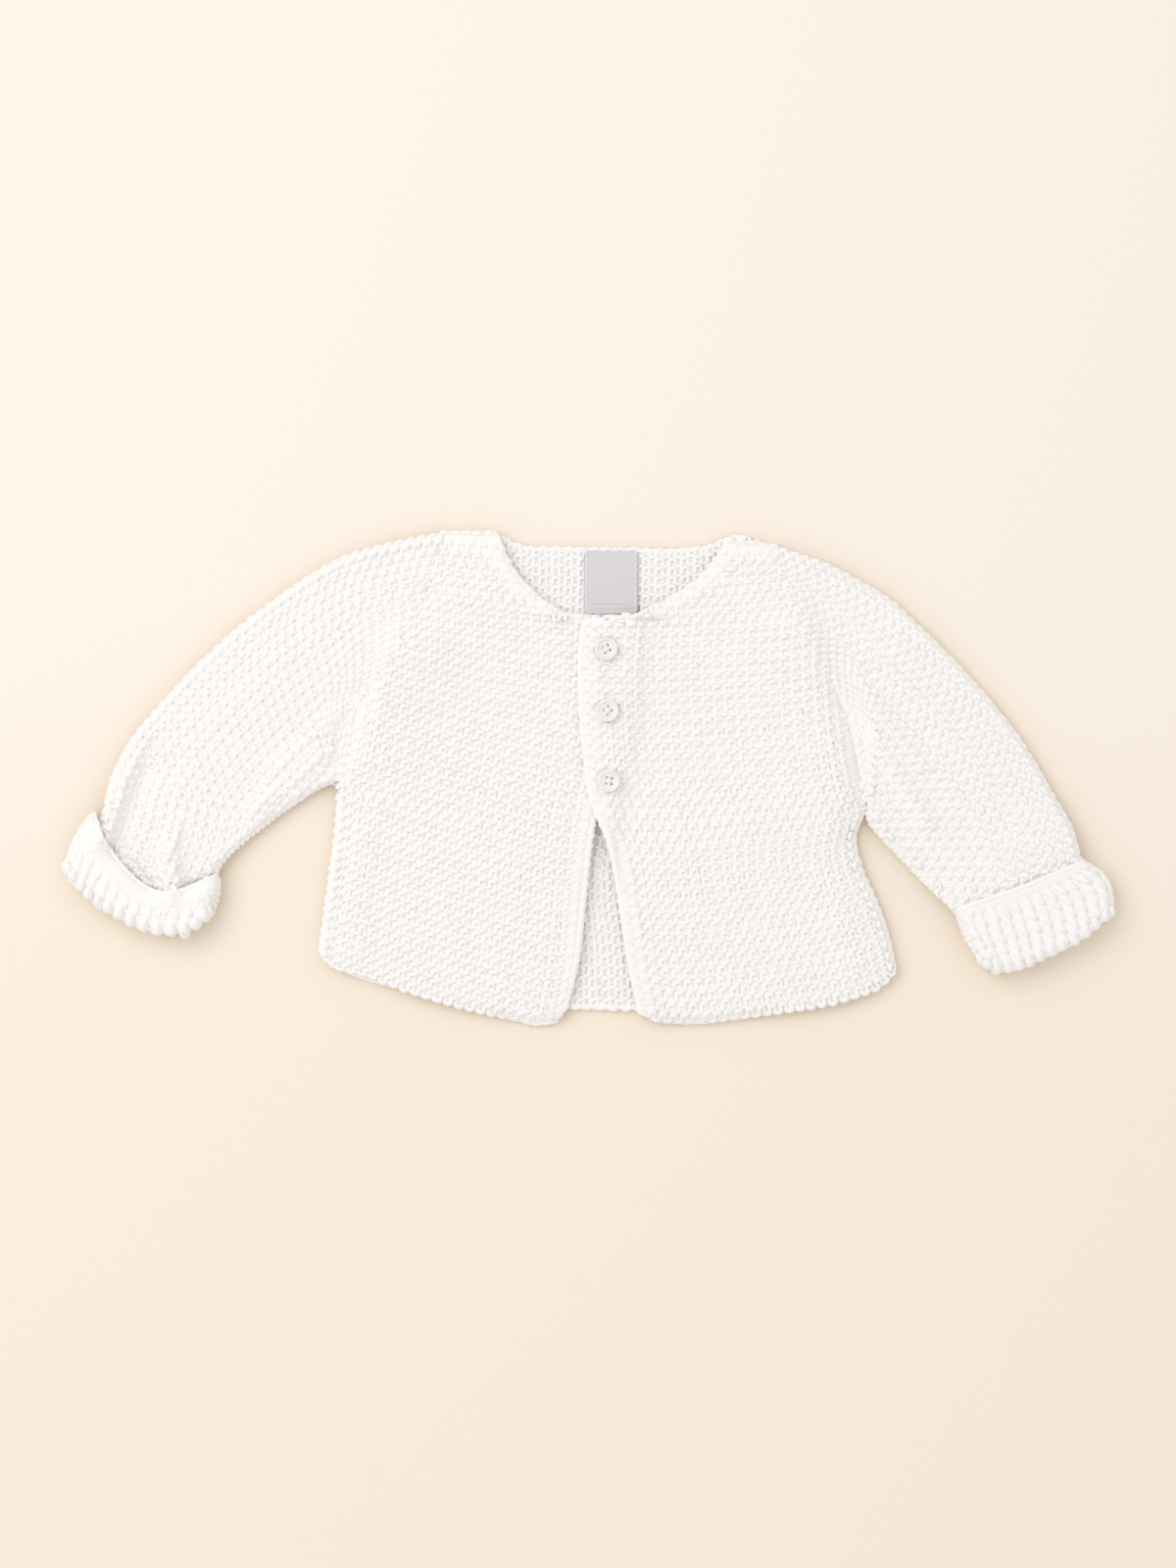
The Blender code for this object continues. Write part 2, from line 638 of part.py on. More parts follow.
def make_label():
    """A woven label that lies on the back below the neck."""
    width, height, thickness = LABEL_SIZE
    shape = bmesh.new()
    bmesh.ops.create_cube(shape, size=1.0)
    bmesh.ops.scale(shape, vec=(width, height, thickness), verts=shape.verts)
    bmesh.ops.translate(shape, vec=(*LABEL_CENTRE, WALL + SEAM_GAP + thickness / 2), verts=shape.verts)
    upright = [e for e in shape.edges if abs(e.verts[0].co.z - e.verts[1].co.z) > 0.5 * thickness]
    bmesh.ops.bevel(shape, geom=upright, offset=1.0, segments=2, affect="EDGES", profile=0.5)
    vertices = [tuple(v.co) for v in shape.verts]
    shape.verts.index_update()
    faces = [tuple(v.index for v in face.verts) for face in shape.faces]
    shape.free()
    return make_object("label", vertices, faces, WOVEN, smooth_faces=False)


def button_mesh():
    """A dished four-hole button, turned about Z, with its flat underside on z = 0."""
    profile = (
        (0.72, 0.0), (0.93, 0.16), (1.0, 0.45), (0.97, 0.82), (0.88, 1.0), (0.76, 0.94), (0.66, 0.66),
    )
    sides = 24
    vertices, faces = [], []
    for radius, height in profile:
        for k in range(sides):
            angle = 2 * math.pi * k / sides
            reach = radius * BUTTON_RADIUS
            vertices.append((reach * math.cos(angle), reach * math.sin(angle), height * BUTTON_HEIGHT))
    for step in range(len(profile) - 1):
        for k in range(sides):
            after = (k + 1) % sides
            low, high = step * sides, (step + 1) * sides
            faces.append((low + k, low + after, high + after, high + k))
    faces.append(tuple(range(sides - 1, -1, -1)))
    faces.append(tuple((len(profile) - 1) * sides + k for k in range(sides)))
    return vertices, faces


def make_button(name, place, seat_height):
    """One button, with its four holes cut through, on the front at a given height."""
    made = make_object(name, *button_mesh(), BUTTON)
    made.location = (place[0] * MM, place[1] * MM, seat_height * MM)
    for k in range(4):
        x = BUTTON_HOLE_PLACE * (1 if k % 2 else -1)
        y = BUTTON_HOLE_PLACE * (1 if k // 2 else -1)
        bpy.ops.mesh.primitive_cylinder_add(vertices=10, radius=BUTTON_HOLE_RADIUS * MM,
                                            depth=4 * BUTTON_HEIGHT * MM)
        cutter = bpy.context.object
        cutter.name = f"{name} hole {k + 1}"
        cutter.parent = made
        cutter.location = (x * MM, y * MM, 0)
        cutter.hide_render = True
        cutter.display_type = "WIRE"
        cut = made.modifiers.new(cutter.name, "BOOLEAN")
        cut.operation = "DIFFERENCE"
        cut.object = cutter
    return made


def main():
    for old in list(bpy.data.objects):
        bpy.data.objects.remove(old, do_unlink=True)
    make_back()
    make_front("front_right", curve(RIGHT_SIDE), right_edge, curve(RIGHT_HEM), over=False)
    make_front("front_left", curve(LEFT_SIDE), left_edge, curve(LEFT_HEM), over=True)
    make_sleeve("sleeve_right", RIGHT_SLEEVE)
    make_sleeve("sleeve_left", LEFT_SLEEVE)
    make_label()
    seat = 3 * WALL + 2 * SEAM_GAP + BAND_GAP + AIR
    for number, place in enumerate(BUTTON_PLACES, 1):
        make_button(f"button_{number}", place, seat)


main()
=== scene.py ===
import math

import bpy
import numpy as np
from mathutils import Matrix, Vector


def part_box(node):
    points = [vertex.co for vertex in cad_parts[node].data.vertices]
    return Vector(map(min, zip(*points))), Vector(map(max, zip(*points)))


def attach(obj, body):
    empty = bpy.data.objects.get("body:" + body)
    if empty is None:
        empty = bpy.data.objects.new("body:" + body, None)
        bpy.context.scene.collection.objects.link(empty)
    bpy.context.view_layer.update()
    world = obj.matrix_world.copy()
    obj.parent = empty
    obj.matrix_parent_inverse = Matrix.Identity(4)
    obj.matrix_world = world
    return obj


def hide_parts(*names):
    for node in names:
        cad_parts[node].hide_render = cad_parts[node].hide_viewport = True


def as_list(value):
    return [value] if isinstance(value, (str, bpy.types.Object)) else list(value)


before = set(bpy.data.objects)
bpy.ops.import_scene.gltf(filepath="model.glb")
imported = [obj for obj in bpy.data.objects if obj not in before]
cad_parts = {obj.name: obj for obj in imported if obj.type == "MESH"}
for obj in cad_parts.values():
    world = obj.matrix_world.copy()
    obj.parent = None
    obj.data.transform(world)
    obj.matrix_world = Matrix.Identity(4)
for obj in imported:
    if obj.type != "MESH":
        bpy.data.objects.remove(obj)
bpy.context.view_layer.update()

# Tables and sizes are in millimetres. X runs to the wearer's left, Y from hem to neck, Z out of the front.
mm = 0.001
bodyName = "root"
upwards = np.array([0.0, 0.0, 1.0])

cloth = {
    "wall": 3.2,                # thickness of the knitted cloth
    "seamGap": 0.3,
    "air": 1.8,                 # how far the fronts stand off the back, past the seam gap
    "edgeSoftness": 22.0,       # over which the fronts come down to the back at side and shoulder
    "shoulderStandoff": 7.7,    # as if the shoulder lay this far off, so that some air is left there
    "hemRows": 5,               # rows over which they come down to the back at the hem
    "hemStandoff": 1.5,         # the same as at the shoulder, in rows
    "hemLevel": 2.5,            # past the hem of the back, before the front drops to the surface
    "hemDrop": 6.0,             # over which it drops
    "bandGap": 0.6,             # between the two fronts where they lap
    "bandLevel": 4.0,           # past the edge below, before the upper front drops
    "bandSlope": 13.0,
    "sleeveHollow": 2.9,
    "sleeveRoot": 0.25,         # share of the sleeve over which its hollow grows from the body's
    "cuffLevel": 20.0,          # the sleeve's end lies level on its cuff over this length
    "cuffRise": 34.0,           # and comes up to that level over this one
    "cuffBow": 0.8,             # share of the cuff's bow that the end inside it has
    "ground": 1.95,             # thickness of the closed ground that the stitches stand on
    "bandFill": 0.95,           # more of it beside an edge, where the stitches close up
    "inset": 1.7,               # from the panel's outline to the ground's rim
    "rimRows": 0.3,             # the same at hem and shoulder, in rows
    "sideCurl": 3.3,            # how far the rows turn down round a folded side
    "edgeCurl": 1.5,
}
rows = {"armpit": 17, "neck": 36, "shoulder": 44, "armpitBlend": 6}
total = rows["shoulder"]

# Station, x, y. Side seam up to the armpit, then the fold where the sleeve leaves the body, by row.
rightSide = [
    (0, -138.0, -88.0), (3, -136.5, -74.0), (7, -133.5, -53.0), (12, -130.5, -29.0), (17, -128.0, -1.0),
    (21, -124.5, 20.0), (25, -116.5, 40.0), (30, -101.5, 61.5), (35, -88.0, 85.0), (40, -78.0, 107.5),
    (44, -73.3, 127.3),
]
leftSide = [
    (0, 156.0, -95.0), (3.3, 152.0, -77.0), (6.8, 145.8, -59.5), (10.3, 138.5, -42.5),
    (13.3, 135.8, -27.0), (17, 140.8, -11.3), (19.5, 137.8, 2.0), (23, 134.0, 20.5), (27, 126.5, 42.5),
    (32, 115.0, 66.5), (38, 102.5, 96.0), (44, 94.3, 120.2),
]
# Front edges by row, then the neck from its corner to the shoulder
rightFrontEdge = [
    (0, -11.8, -117.3), (4, -6.0, -94.0), (10, -1.8, -60.0), (16.5, 2.3, -27.3), (23, 10.3, 8.0),
    (30, 16.3, 48.0), (36, 18.3, 82.5),
]
leftFrontEdge = [
    (0, 25.3, -118.8), (4.7, 19.3, -92.3), (9, 15.7, -69.0), (13, 12.2, -47.3), (16, 8.7, -31.0),
    (19.5, 0.5, -11.0), (23.6, -3.5, 12.7), (29, -5.6, 42.0), (33, -5.9, 65.0), (36, -4.2, 80.5),
]
rightNeck = [
    (36, 18.3, 82.5), (36.7, -5.8, 83.5), (37.8, -20.8, 90.0), (39.2, -30.8, 98.7), (41.6, -40.3, 112.0),
    (44, -46.8, 127.3),
]
leftNeck = [
    (36, -4.2, 80.5), (36.6, 19.2, 82.5), (37.5, 31.8, 87.3), (38.8, 44.5, 94.0), (40.4, 55.3, 102.5),
    (42, 63.3, 111.5), (44, 70.3, 124.3),
]
# Hems by share of the way from the side to the front edge, or right to left on the back
rightHem = [
    (0, -138.0, -88.0), (0.06, -132.5, -95.0), (0.2, -112.0, -102.0), (0.4, -87.0, -111.0),
    (0.6, -62.0, -118.2), (0.8, -36.0, -124.8), (0.9, -25.0, -126.5), (0.96, -17.5, -124.2),
    (1, -11.8, -117.3),
]
leftHem = [
    (0, 156.0, -95.0), (0.05, 154.5, -101.5), (0.1, 149.0, -106.8), (0.2, 135.0, -112.3),
    (0.42, 104.0, -118.8), (0.63, 74.0, -123.8), (0.82, 49.0, -125.8), (0.94, 32.5, -123.5),
    (1, 25.3, -118.8),
]
backHem = [
    (0, -138.0, -88.0), (0.05, -130.0, -95.5), (0.25, -75.0, -111.0), (0.5, 2.0, -117.6),
    (0.75, 80.0, -115.5), (0.93, 138.0, -106.5), (1, 156.0, -95.0),
]
backTop = [
    (0, -73.3, 127.3), (0.07, -60.0, 127.3), (0.14, -47.5, 125.8), (0.2, -38.0, 121.0),
    (0.35, -14.0, 119.0), (0.55, 18.0, 118.5), (0.75, 50.0, 118.5), (0.84, 64.5, 121.0),
    (0.88, 71.0, 124.5), (1, 94.3, 120.2),
]
# Soft ridges and creases of the upper layer: start, end, height, spread to the left and to the right
bodyFolds = [
    (-114.0, 10.0, -98.0, 66.0, 4.4, 8.0, 30.0),
    (-100.0, 62.0, -62.0, 92.0, 2.0, 16.0, 24.0),
    (128.0, -2.0, 110.0, 74.0, 4.4, 34.0, 8.0),
    (112.0, 70.0, 84.0, 100.0, 1.6, 24.0, 14.0),
    (-120.0, -28.0, -122.0, -84.0, 1.5, 14.0, 14.0),
    (126.0, -30.0, 140.0, -90.0, 1.5, 14.0, 14.0),
]
rightSleeve = {
    "side": rightSide,
    "top": [
        (0, -73.3, 127.3), (0.1, -100.8, 121.3), (0.2, -125.8, 113.8), (0.31, -150.8, 99.3),
        (0.42, -175.8, 80.8), (0.55, -200.8, 58.3), (0.66, -221.8, 35.8), (0.75, -235.8, 17.8),
        (0.82, -244.3, 0.3), (0.88, -247.8, -15.0), (1, -262.0, -44.0),
    ],
    "under": [
        (0, -128.0, -1.0), (0.25, -133.5, -3.0), (0.45, -141.0, -6.5), (0.6, -155.0, -15.0),
        (0.72, -171.8, -27.0), (0.82, -185.5, -38.5), (0.9, -191.5, -48.5), (1, -197.5, -64.0),
    ],
    "turnedEdge": [
        (0, -252.0, -14.0), (0.22, -241.8, -36.0), (0.48, -224.5, -54.0), (0.66, -213.0, -56.3),
        (0.84, -199.5, -51.8), (1, -188.5, -47.0),
    ],
    "foldLine": [
        (0, -268.5, -43.5), (0.15, -260.5, -56.5), (0.4, -241.5, -71.0), (0.65, -220.0, -80.0),
        (0.85, -202.5, -78.0), (1, -193.0, -66.5),
    ],
    "cuffTop": [(0, -252.0, -14.0), (0.5, -263.0, -28.0), (1, -268.5, -43.5)],
    "cuffUnder": [(0, -188.5, -47.0), (0.5, -189.0, -57.0), (1, -193.0, -66.5)],
    "gape": 1.1, "rib": 6.6, "smoothBand": 12.0, "knob": 6.2, "rope": 5.8, "foldInset": 2.0,
    "pleats": [(-214.5, -36.0, -212.0, -58.0, 2.6, 4.0, 4.0)],
    "folds": [
        (-228.0, 24.0, -248.0, -30.0, 3.8, 5.0, 5.0),
        (-226.0, 4.0, -241.0, -37.0, -3.2, 5.0, 4.0),
        (-241.0, -37.0, -224.0, -55.0, -3.2, 5.0, 5.0),
        (-207.0, -57.0, -191.0, -49.5, -2.6, 4.0, 4.0),
        (-212.0, -26.0, -210.5, -58.0, 2.6, 4.5, 4.5),
        (-134.0, 14.0, -168.0, -14.0, 2.2, 5.0, 5.0),
        (-128.0, 34.0, -160.0, 4.0, 1.6, 5.0, 5.0),
        (-150.0, 62.0, -206.0, 2.0, 1.6, 18.0, 18.0),
    ],
}
leftSleeve = {
    "side": leftSide,
    "top": [
        (0, 94.3, 120.2), (0.1, 119.3, 111.3), (0.19, 137.0, 102.3), (0.26, 152.0, 93.3),
        (0.36, 170.0, 77.0), (0.46, 187.5, 59.5), (0.55, 203.5, 42.0), (0.66, 221.8, 18.3),
        (0.78, 237.0, -8.0), (0.87, 246.5, -25.5), (0.93, 250.5, -38.5), (1, 260.5, -63.0),
    ],
    "under": [
        (0, 140.8, -11.3), (0.3, 142.8, -19.0), (0.52, 146.5, -27.5), (0.64, 156.5, -38.0),
        (0.76, 169.5, -51.0), (0.86, 183.0, -63.5), (0.92, 191.0, -71.5), (1, 203.5, -88.0),
    ],
    "turnedEdge": [
        (0, 252.5, -40.5), (0.3, 232.5, -48.3), (0.55, 217.0, -54.5), (0.8, 199.0, -60.5),
        (1, 185.5, -66.0),
    ],
    "foldLine": [
        (0, 268.5, -67.0), (0.2, 253.0, -81.0), (0.5, 231.0, -92.5), (0.75, 214.5, -98.8),
        (0.9, 205.0, -97.3), (1, 199.5, -91.0),
    ],
    "cuffTop": [(0, 252.5, -40.5), (0.5, 264.5, -50.0), (1, 268.5, -67.0)],
    "cuffUnder": [(0, 185.5, -66.0), (0.5, 191.0, -79.5), (1, 199.5, -91.0)],
    "gape": 0.5, "rib": 6.4, "smoothBand": 7.0, "knob": 5.2, "rope": 5.7, "foldInset": 0.9,
    "pleats": [],
    "folds": [
        (146.0, 22.0, 172.0, -22.0, 2.2, 5.0, 5.0),
        (138.0, 50.0, 168.0, 6.0, 1.6, 5.0, 5.0),
        (160.0, 66.0, 222.0, -30.0, 1.6, 18.0, 18.0),
    ],
}


# Shapes that the pieces share

def smooth(share):
    share = np.clip(share, 0.0, 1.0)
    return share * share * (3.0 - 2.0 * share)


def crowded(count):    # steps from 0 to 1, closer together towards both ends
    return 0.5 - 0.5 * np.cos(np.linspace(0, np.pi, count))


def curveThrough(knots):
    table = np.array(knots, float)
    stations, points = table[:, 0], table[:, 1:]
    slopes = np.gradient(points, stations, axis=0)

    def at(station):
        station = np.clip(np.asarray(station, float), stations[0], stations[-1])
        low = np.clip(np.searchsorted(stations, station, side="right") - 1, 0, len(stations) - 2)
        span = (stations[low + 1] - stations[low])[..., None]
        w = (station - stations[low])[..., None] / span
        start = points[low] * (2 * w**3 - 3 * w**2 + 1) + slopes[low] * span * (w**3 - 2 * w**2 + w)
        end = points[low + 1] * (3 * w**2 - 2 * w**3) + slopes[low + 1] * span * (w**3 - w**2)
        return start + end

    return at


def joinedCurve(lower, upper, station):    # two curves that meet in a corner
    first, second = curveThrough(lower), curveThrough(upper)
    return lambda at: np.where(np.asarray(at, float)[..., None] <= station, first(at), second(at))


def patchOf(first, last, start, end):    # a surface between four curves, by (along, across)
    corner = [start(0.0), start(1.0), end(0.0), end(1.0)]

    def at(along, across):
        along, across = np.broadcast_arrays(np.asarray(along, float), np.asarray(across, float))
        a, b = along[..., None], across[..., None]
        sides = (1 - a) * first(across) + a * last(across)
        ends = (1 - b) * start(along) + b * end(along)
        near = (1 - a) * corner[0] + a * corner[1]
        far = (1 - a) * corner[2] + a * corner[3]
        return sides + ends - (1 - b) * near - b * far

    return at


def foldLift(folds, plan):    # height that the folds add at each place
    lift = np.zeros(plan.shape[:-1])
    for x0, y0, x1, y1, height, left, right in folds:
        run = np.array([x1 - x0, y1 - y0])
        length = np.hypot(*run)
        run = run / length
        offset = plan - np.array([x0, y0])
        along = offset @ run
        toLeft = offset[..., 1] * run[0] - offset[..., 0] * run[1]
        spread = np.where(toLeft > 0, left, right)
        pastEnd = np.maximum(np.maximum(-along, along - length), 0.0)
        lift += height * np.exp(-((toLeft / spread) ** 2) - (pastEnd / (0.5 * (left + right))) ** 2)
    return lift


def distanceTo(line, plan):    # signed distance to a line of points, under 0 to the right of its way
    starts, runs = line[:-1], line[1:] - line[:-1]
    flat = plan.reshape(-1, 2)
    offset = flat[:, None] - starts[None]
    share = np.clip(np.sum(offset * runs, axis=2) / np.sum(runs * runs, axis=1), 0.0, 1.0)
    gap = offset - runs * share[..., None]
    size = np.hypot(gap[..., 0], gap[..., 1])
    nearest = np.argmin(size, axis=1)
    pick = np.arange(len(flat))
    turn = runs[nearest, 0] * gap[pick, nearest, 1] - runs[nearest, 1] * gap[pick, nearest, 0]
    return (size[pick, nearest] * np.sign(turn)).reshape(plan.shape[:-1])


def lengthAlong(line):    # how far each point lies from the start of its line
    return np.concatenate([[0.0], np.cumsum(np.linalg.norm(np.diff(line, axis=0), axis=1))])


def sampled(values, stations, at):    # the values that stand at some stations, read at others
    return np.stack([np.interp(at, stations, values[:, k]) for k in range(values.shape[1])], axis=1)


def curl(distance, radius):    # how far a rounded edge lies below its face
    inside = np.clip(1 - distance / np.maximum(radius, 1e-6), 0.0, 1.0)
    return radius * (1 - np.sqrt(1 - inside * inside))


def unitOf(ways):
    return ways / (np.linalg.norm(ways, axis=-1, keepdims=True) + 1e-9)


def at3(plan, height):
    return np.concatenate([plan, np.broadcast_to(height, plan.shape[:-1])[..., None]], axis=-1)


def pickedFrom(laid, which):
    return {key: value[which] for key, value in laid.items()}


def joinedUp(parts):
    return {key: np.concatenate([part[key] for part in parts]) for key in parts[0]}


# Meshes

def addObject(name, data):
    made = bpy.data.objects.new(name, data)
    bpy.context.scene.collection.objects.link(made)
    return made


def makeMesh(name, vertices, faces, material):
    mesh = bpy.data.meshes.new(name)
    mesh.from_pydata(np.asarray(vertices, float) * mm, [], faces)
    mesh.shade_smooth()
    mesh.materials.append(material)
    return addObject(name, mesh)


def faceOut(made):    # a closed mesh with all its faces turned outwards
    mesh = made.data
    co = np.zeros(len(mesh.vertices) * 3)
    mesh.vertices.foreach_get("co", co)
    mesh.calc_loop_triangles()
    triangles = np.zeros(len(mesh.loop_triangles) * 3, int)
    mesh.loop_triangles.foreach_get("vertices", triangles)
    a, b, c = co.reshape(-1, 3)[triangles.reshape(-1, 3)].transpose(1, 0, 2)
    if np.sum(a * np.cross(b, c)) < 0:
        mesh.flip_normals()
    return made


def keepShape(made):    # what the modifiers give becomes the object's own plain mesh
    graph = bpy.context.evaluated_depsgraph_get()
    mesh = bpy.data.meshes.new_from_object(made.evaluated_get(graph), depsgraph=graph)
    made.modifiers.clear()
    made.data = mesh
    return mesh


def pressFlat(made):    # where it rests, the yarn is pressed flat against the surface
    places = np.zeros(len(made.data.vertices) * 3)
    made.data.vertices.foreach_get("co", places)
    places[2::3] = np.maximum(places[2::3], 0.0)
    made.data.vertices.foreach_set("co", places)
    made.data.update()


def vertexNumbers(grid, closedUp=False, closedAcross=False):    # of a grid of points, as a grid
    index = np.arange(grid.shape[0] * grid.shape[1]).reshape(grid.shape[:2])
    if closedUp:
        index = np.concatenate([index, index[:1]])
    if closedAcross:
        index = np.concatenate([index, index[:, :1]], axis=1)
    return index


def gridFaces(index):
    a, b, c, d = index[:-1, :-1], index[:-1, 1:], index[1:, 1:], index[1:, :-1]
    return np.stack([a, b, c, d], axis=-1).reshape(-1, 4).tolist()


def makeWall(name, upper, lower, material):    # a closed wall between two grids of points
    index = vertexNumbers(upper)
    rim = np.concatenate([index[0, :-1], index[:-1, -1], index[-1, :0:-1], index[:0:-1, 0]])
    after, count = np.roll(rim, -1), index.size
    faces = gridFaces(index) + gridFaces(index[::-1] + count)
    faces += np.column_stack((after, rim, rim + count, after + count)).tolist()
    vertices = np.concatenate([upper.reshape(-1, 3), lower.reshape(-1, 3)])
    return faceOut(makeMesh(name, vertices, faces, material))


def cutArea(*grids):    # area of cloth along its own surface, in square metres
    area = 0.0
    for points in grids:
        across, along = np.diff(points[:-1], axis=1), np.diff(points[:, :-1], axis=0)
        area += np.sum(np.linalg.norm(np.cross(across, along), axis=2))
    return float(area) * mm * mm


# Node trees

def addNode(tree, kind, inputs=None, **settings):
    node = tree.nodes.new(kind)
    for key, value in settings.items():
        setattr(node, key, value)
    for key, value in (inputs or {}).items():
        if isinstance(value, bpy.types.NodeSocket):
            tree.links.new(value, node.inputs[key])
        else:
            node.inputs[key].default_value = value
    return node


def maths(tree, operation, *values):
    return addNode(tree, "ShaderNodeMath", dict(enumerate(values)), operation=operation).outputs[0]


def vectors(tree, operation, *values):
    return addNode(tree, "ShaderNodeVectorMath", dict(enumerate(values)), operation=operation).outputs[0]


def newTree(name, inputs):
    tree = bpy.data.node_groups.new(name, "GeometryNodeTree")
    tree.interface.new_socket(name="Geometry", in_out="INPUT", socket_type="NodeSocketGeometry")
    tree.interface.new_socket(name="Geometry", in_out="OUTPUT", socket_type="NodeSocketGeometry")
    for title, kind in inputs.items():
        tree.interface.new_socket(name=title, in_out="INPUT", socket_type="NodeSocket" + kind)
    return tree, tree.nodes.new("NodeGroupInput").outputs, tree.nodes.new("NodeGroupOutput").inputs


def endTree(tree, given, result, shape):    # real, soft and in its yarn
    real = addNode(tree, "GeometryNodeRealizeInstances", {"Geometry": shape})
    soft = addNode(tree, "GeometryNodeSetShadeSmooth", {"Geometry": real.outputs["Geometry"]})
    finished = addNode(tree, "GeometryNodeSetMaterial", {
        "Geometry": soft.outputs["Geometry"], "Material": given["Yarn"]})
    tree.links.new(finished.outputs["Geometry"], result["Geometry"])


def runTree(holder, tree, values):    # runs a tree on an object and keeps the result as its plain mesh
    modifier = holder.modifiers.new(tree.name, "NODES")
    modifier.node_group = tree
    for item in tree.interface.items_tree:
        if item.in_out == "INPUT" and item.name in values:
            modifier[item.identifier] = values[item.name]
    keepShape(holder).name = holder.name


def startArc(tree, bend):    # an arc of radius 1, and where each of its points lies
    arc = addNode(tree, "GeometryNodeCurveArc", {
        "Resolution": bend["steps"], "Radius": 1.0, "Start Angle": math.radians(bend["start"]),
        "Sweep Angle": math.radians(bend["sweep"])})
    where = addNode(tree, "GeometryNodeInputPosition").outputs["Position"]
    return arc.outputs["Curve"], addNode(tree, "ShaderNodeSeparateXYZ", {"Vector": where}).outputs


def bendTube(tree, bend, arc, place, height, thin, thick):    # a round tube along an arc, put in its place
    thin, thick = (maths(tree, "MULTIPLY", each, 0.5) for each in (thin, thick))
    plump = addNode(tree, "ShaderNodeMapRange", {
        "Value": height, 1: bend["thinUpTo"], 2: bend["thickFrom"], 3: thin, 4: thick},
        interpolation_type="SMOOTHSTEP")
    full = addNode(tree, "GeometryNodeSetCurveRadius", {"Curve": arc, "Radius": plump.outputs[0]})
    path = addNode(tree, "GeometryNodeSetPosition", {"Geometry": full.outputs["Curve"], "Position": place})
    section = addNode(tree, "GeometryNodeCurvePrimitiveCircle", {"Resolution": bend["sides"], "Radius": 1.0})
    size = addNode(tree, "GeometryNodeInputRadius").outputs["Radius"]
    tube = addNode(tree, "GeometryNodeCurveToMesh", {
        "Curve": path.outputs["Geometry"], "Profile Curve": section.outputs["Curve"], "Scale": size,
        "Fill Caps": True})
    return tube.outputs["Mesh"]


def setOutOnPoints(tree, given, result, shape):
    # Sets a shape on each point, turned to the cloth and to its row, and no two quite alike
    looseness = (3 * mm, 3 * mm, 2 * mm)    # how far a shape is moved, for an unevenness of 1

    def attribute(name):
        return addNode(tree, "GeometryNodeInputNamedAttribute", {"Name": name},
                       data_type="FLOAT_VECTOR").outputs["Attribute"]

    def uneven(shift):
        return addNode(tree, "FunctionNodeRandomValue", {
            "Min": vectors(tree, "MULTIPLY", (-1.0, -1.0, -1.0), given["Unevenness"]),
            "Max": vectors(tree, "MULTIPLY", (1.0, 1.0, 1.0), given["Unevenness"]),
            "Seed": maths(tree, "ADD", given["Seed"], shift)}, data_type="FLOAT_VECTOR").outputs["Value"]

    turned = addNode(tree, "FunctionNodeAxesToRotation", {
        "Primary Axis": attribute("outward"), "Secondary Axis": attribute("alongRow")},
        primary_axis="Z", secondary_axis="X")
    lean = addNode(tree, "FunctionNodeEulerToRotation", {"Euler": uneven(1.0)})
    leaning = addNode(tree, "FunctionNodeRotateRotation", {
        "Rotation": turned.outputs["Rotation"], "Rotate By": lean.outputs["Rotation"]},
        rotation_space="LOCAL")
    swell = vectors(tree, "ADD", uneven(2.0), (1.0, 1.0, 1.0))
    size = vectors(tree, "MULTIPLY", attribute("stretch"), swell)
    moved = addNode(tree, "GeometryNodeSetPosition", {
        "Geometry": given["Geometry"], "Offset": vectors(tree, "MULTIPLY", uneven(3.0), looseness)})
    laid = addNode(tree, "GeometryNodeInstanceOnPoints", {
        "Points": moved.outputs["Geometry"], "Instance": shape, "Rotation": leaning.outputs["Rotation"],
        "Scale": vectors(tree, "MULTIPLY", size, (mm, mm, mm))})
    endTree(tree, given, result, laid.outputs["Instances"])


# The arc, in degrees, that a loop is bent from, and the heights on it up to which the yarn is thin and from
# which it is thick. Squareness brings the two sides near to upright, and a power under 1 flattens the top.
loopBend = {"steps": 7, "sides": 6, "start": -22, "sweep": 224, "thinUpTo": 0.55, "thickFrom": 1.0,
            "squareness": 1.55, "topPower": 0.3}
linkBend = {"steps": 6, "sides": 6, "start": 0, "sweep": 180, "thinUpTo": -0.4, "thickFrom": 0.9}


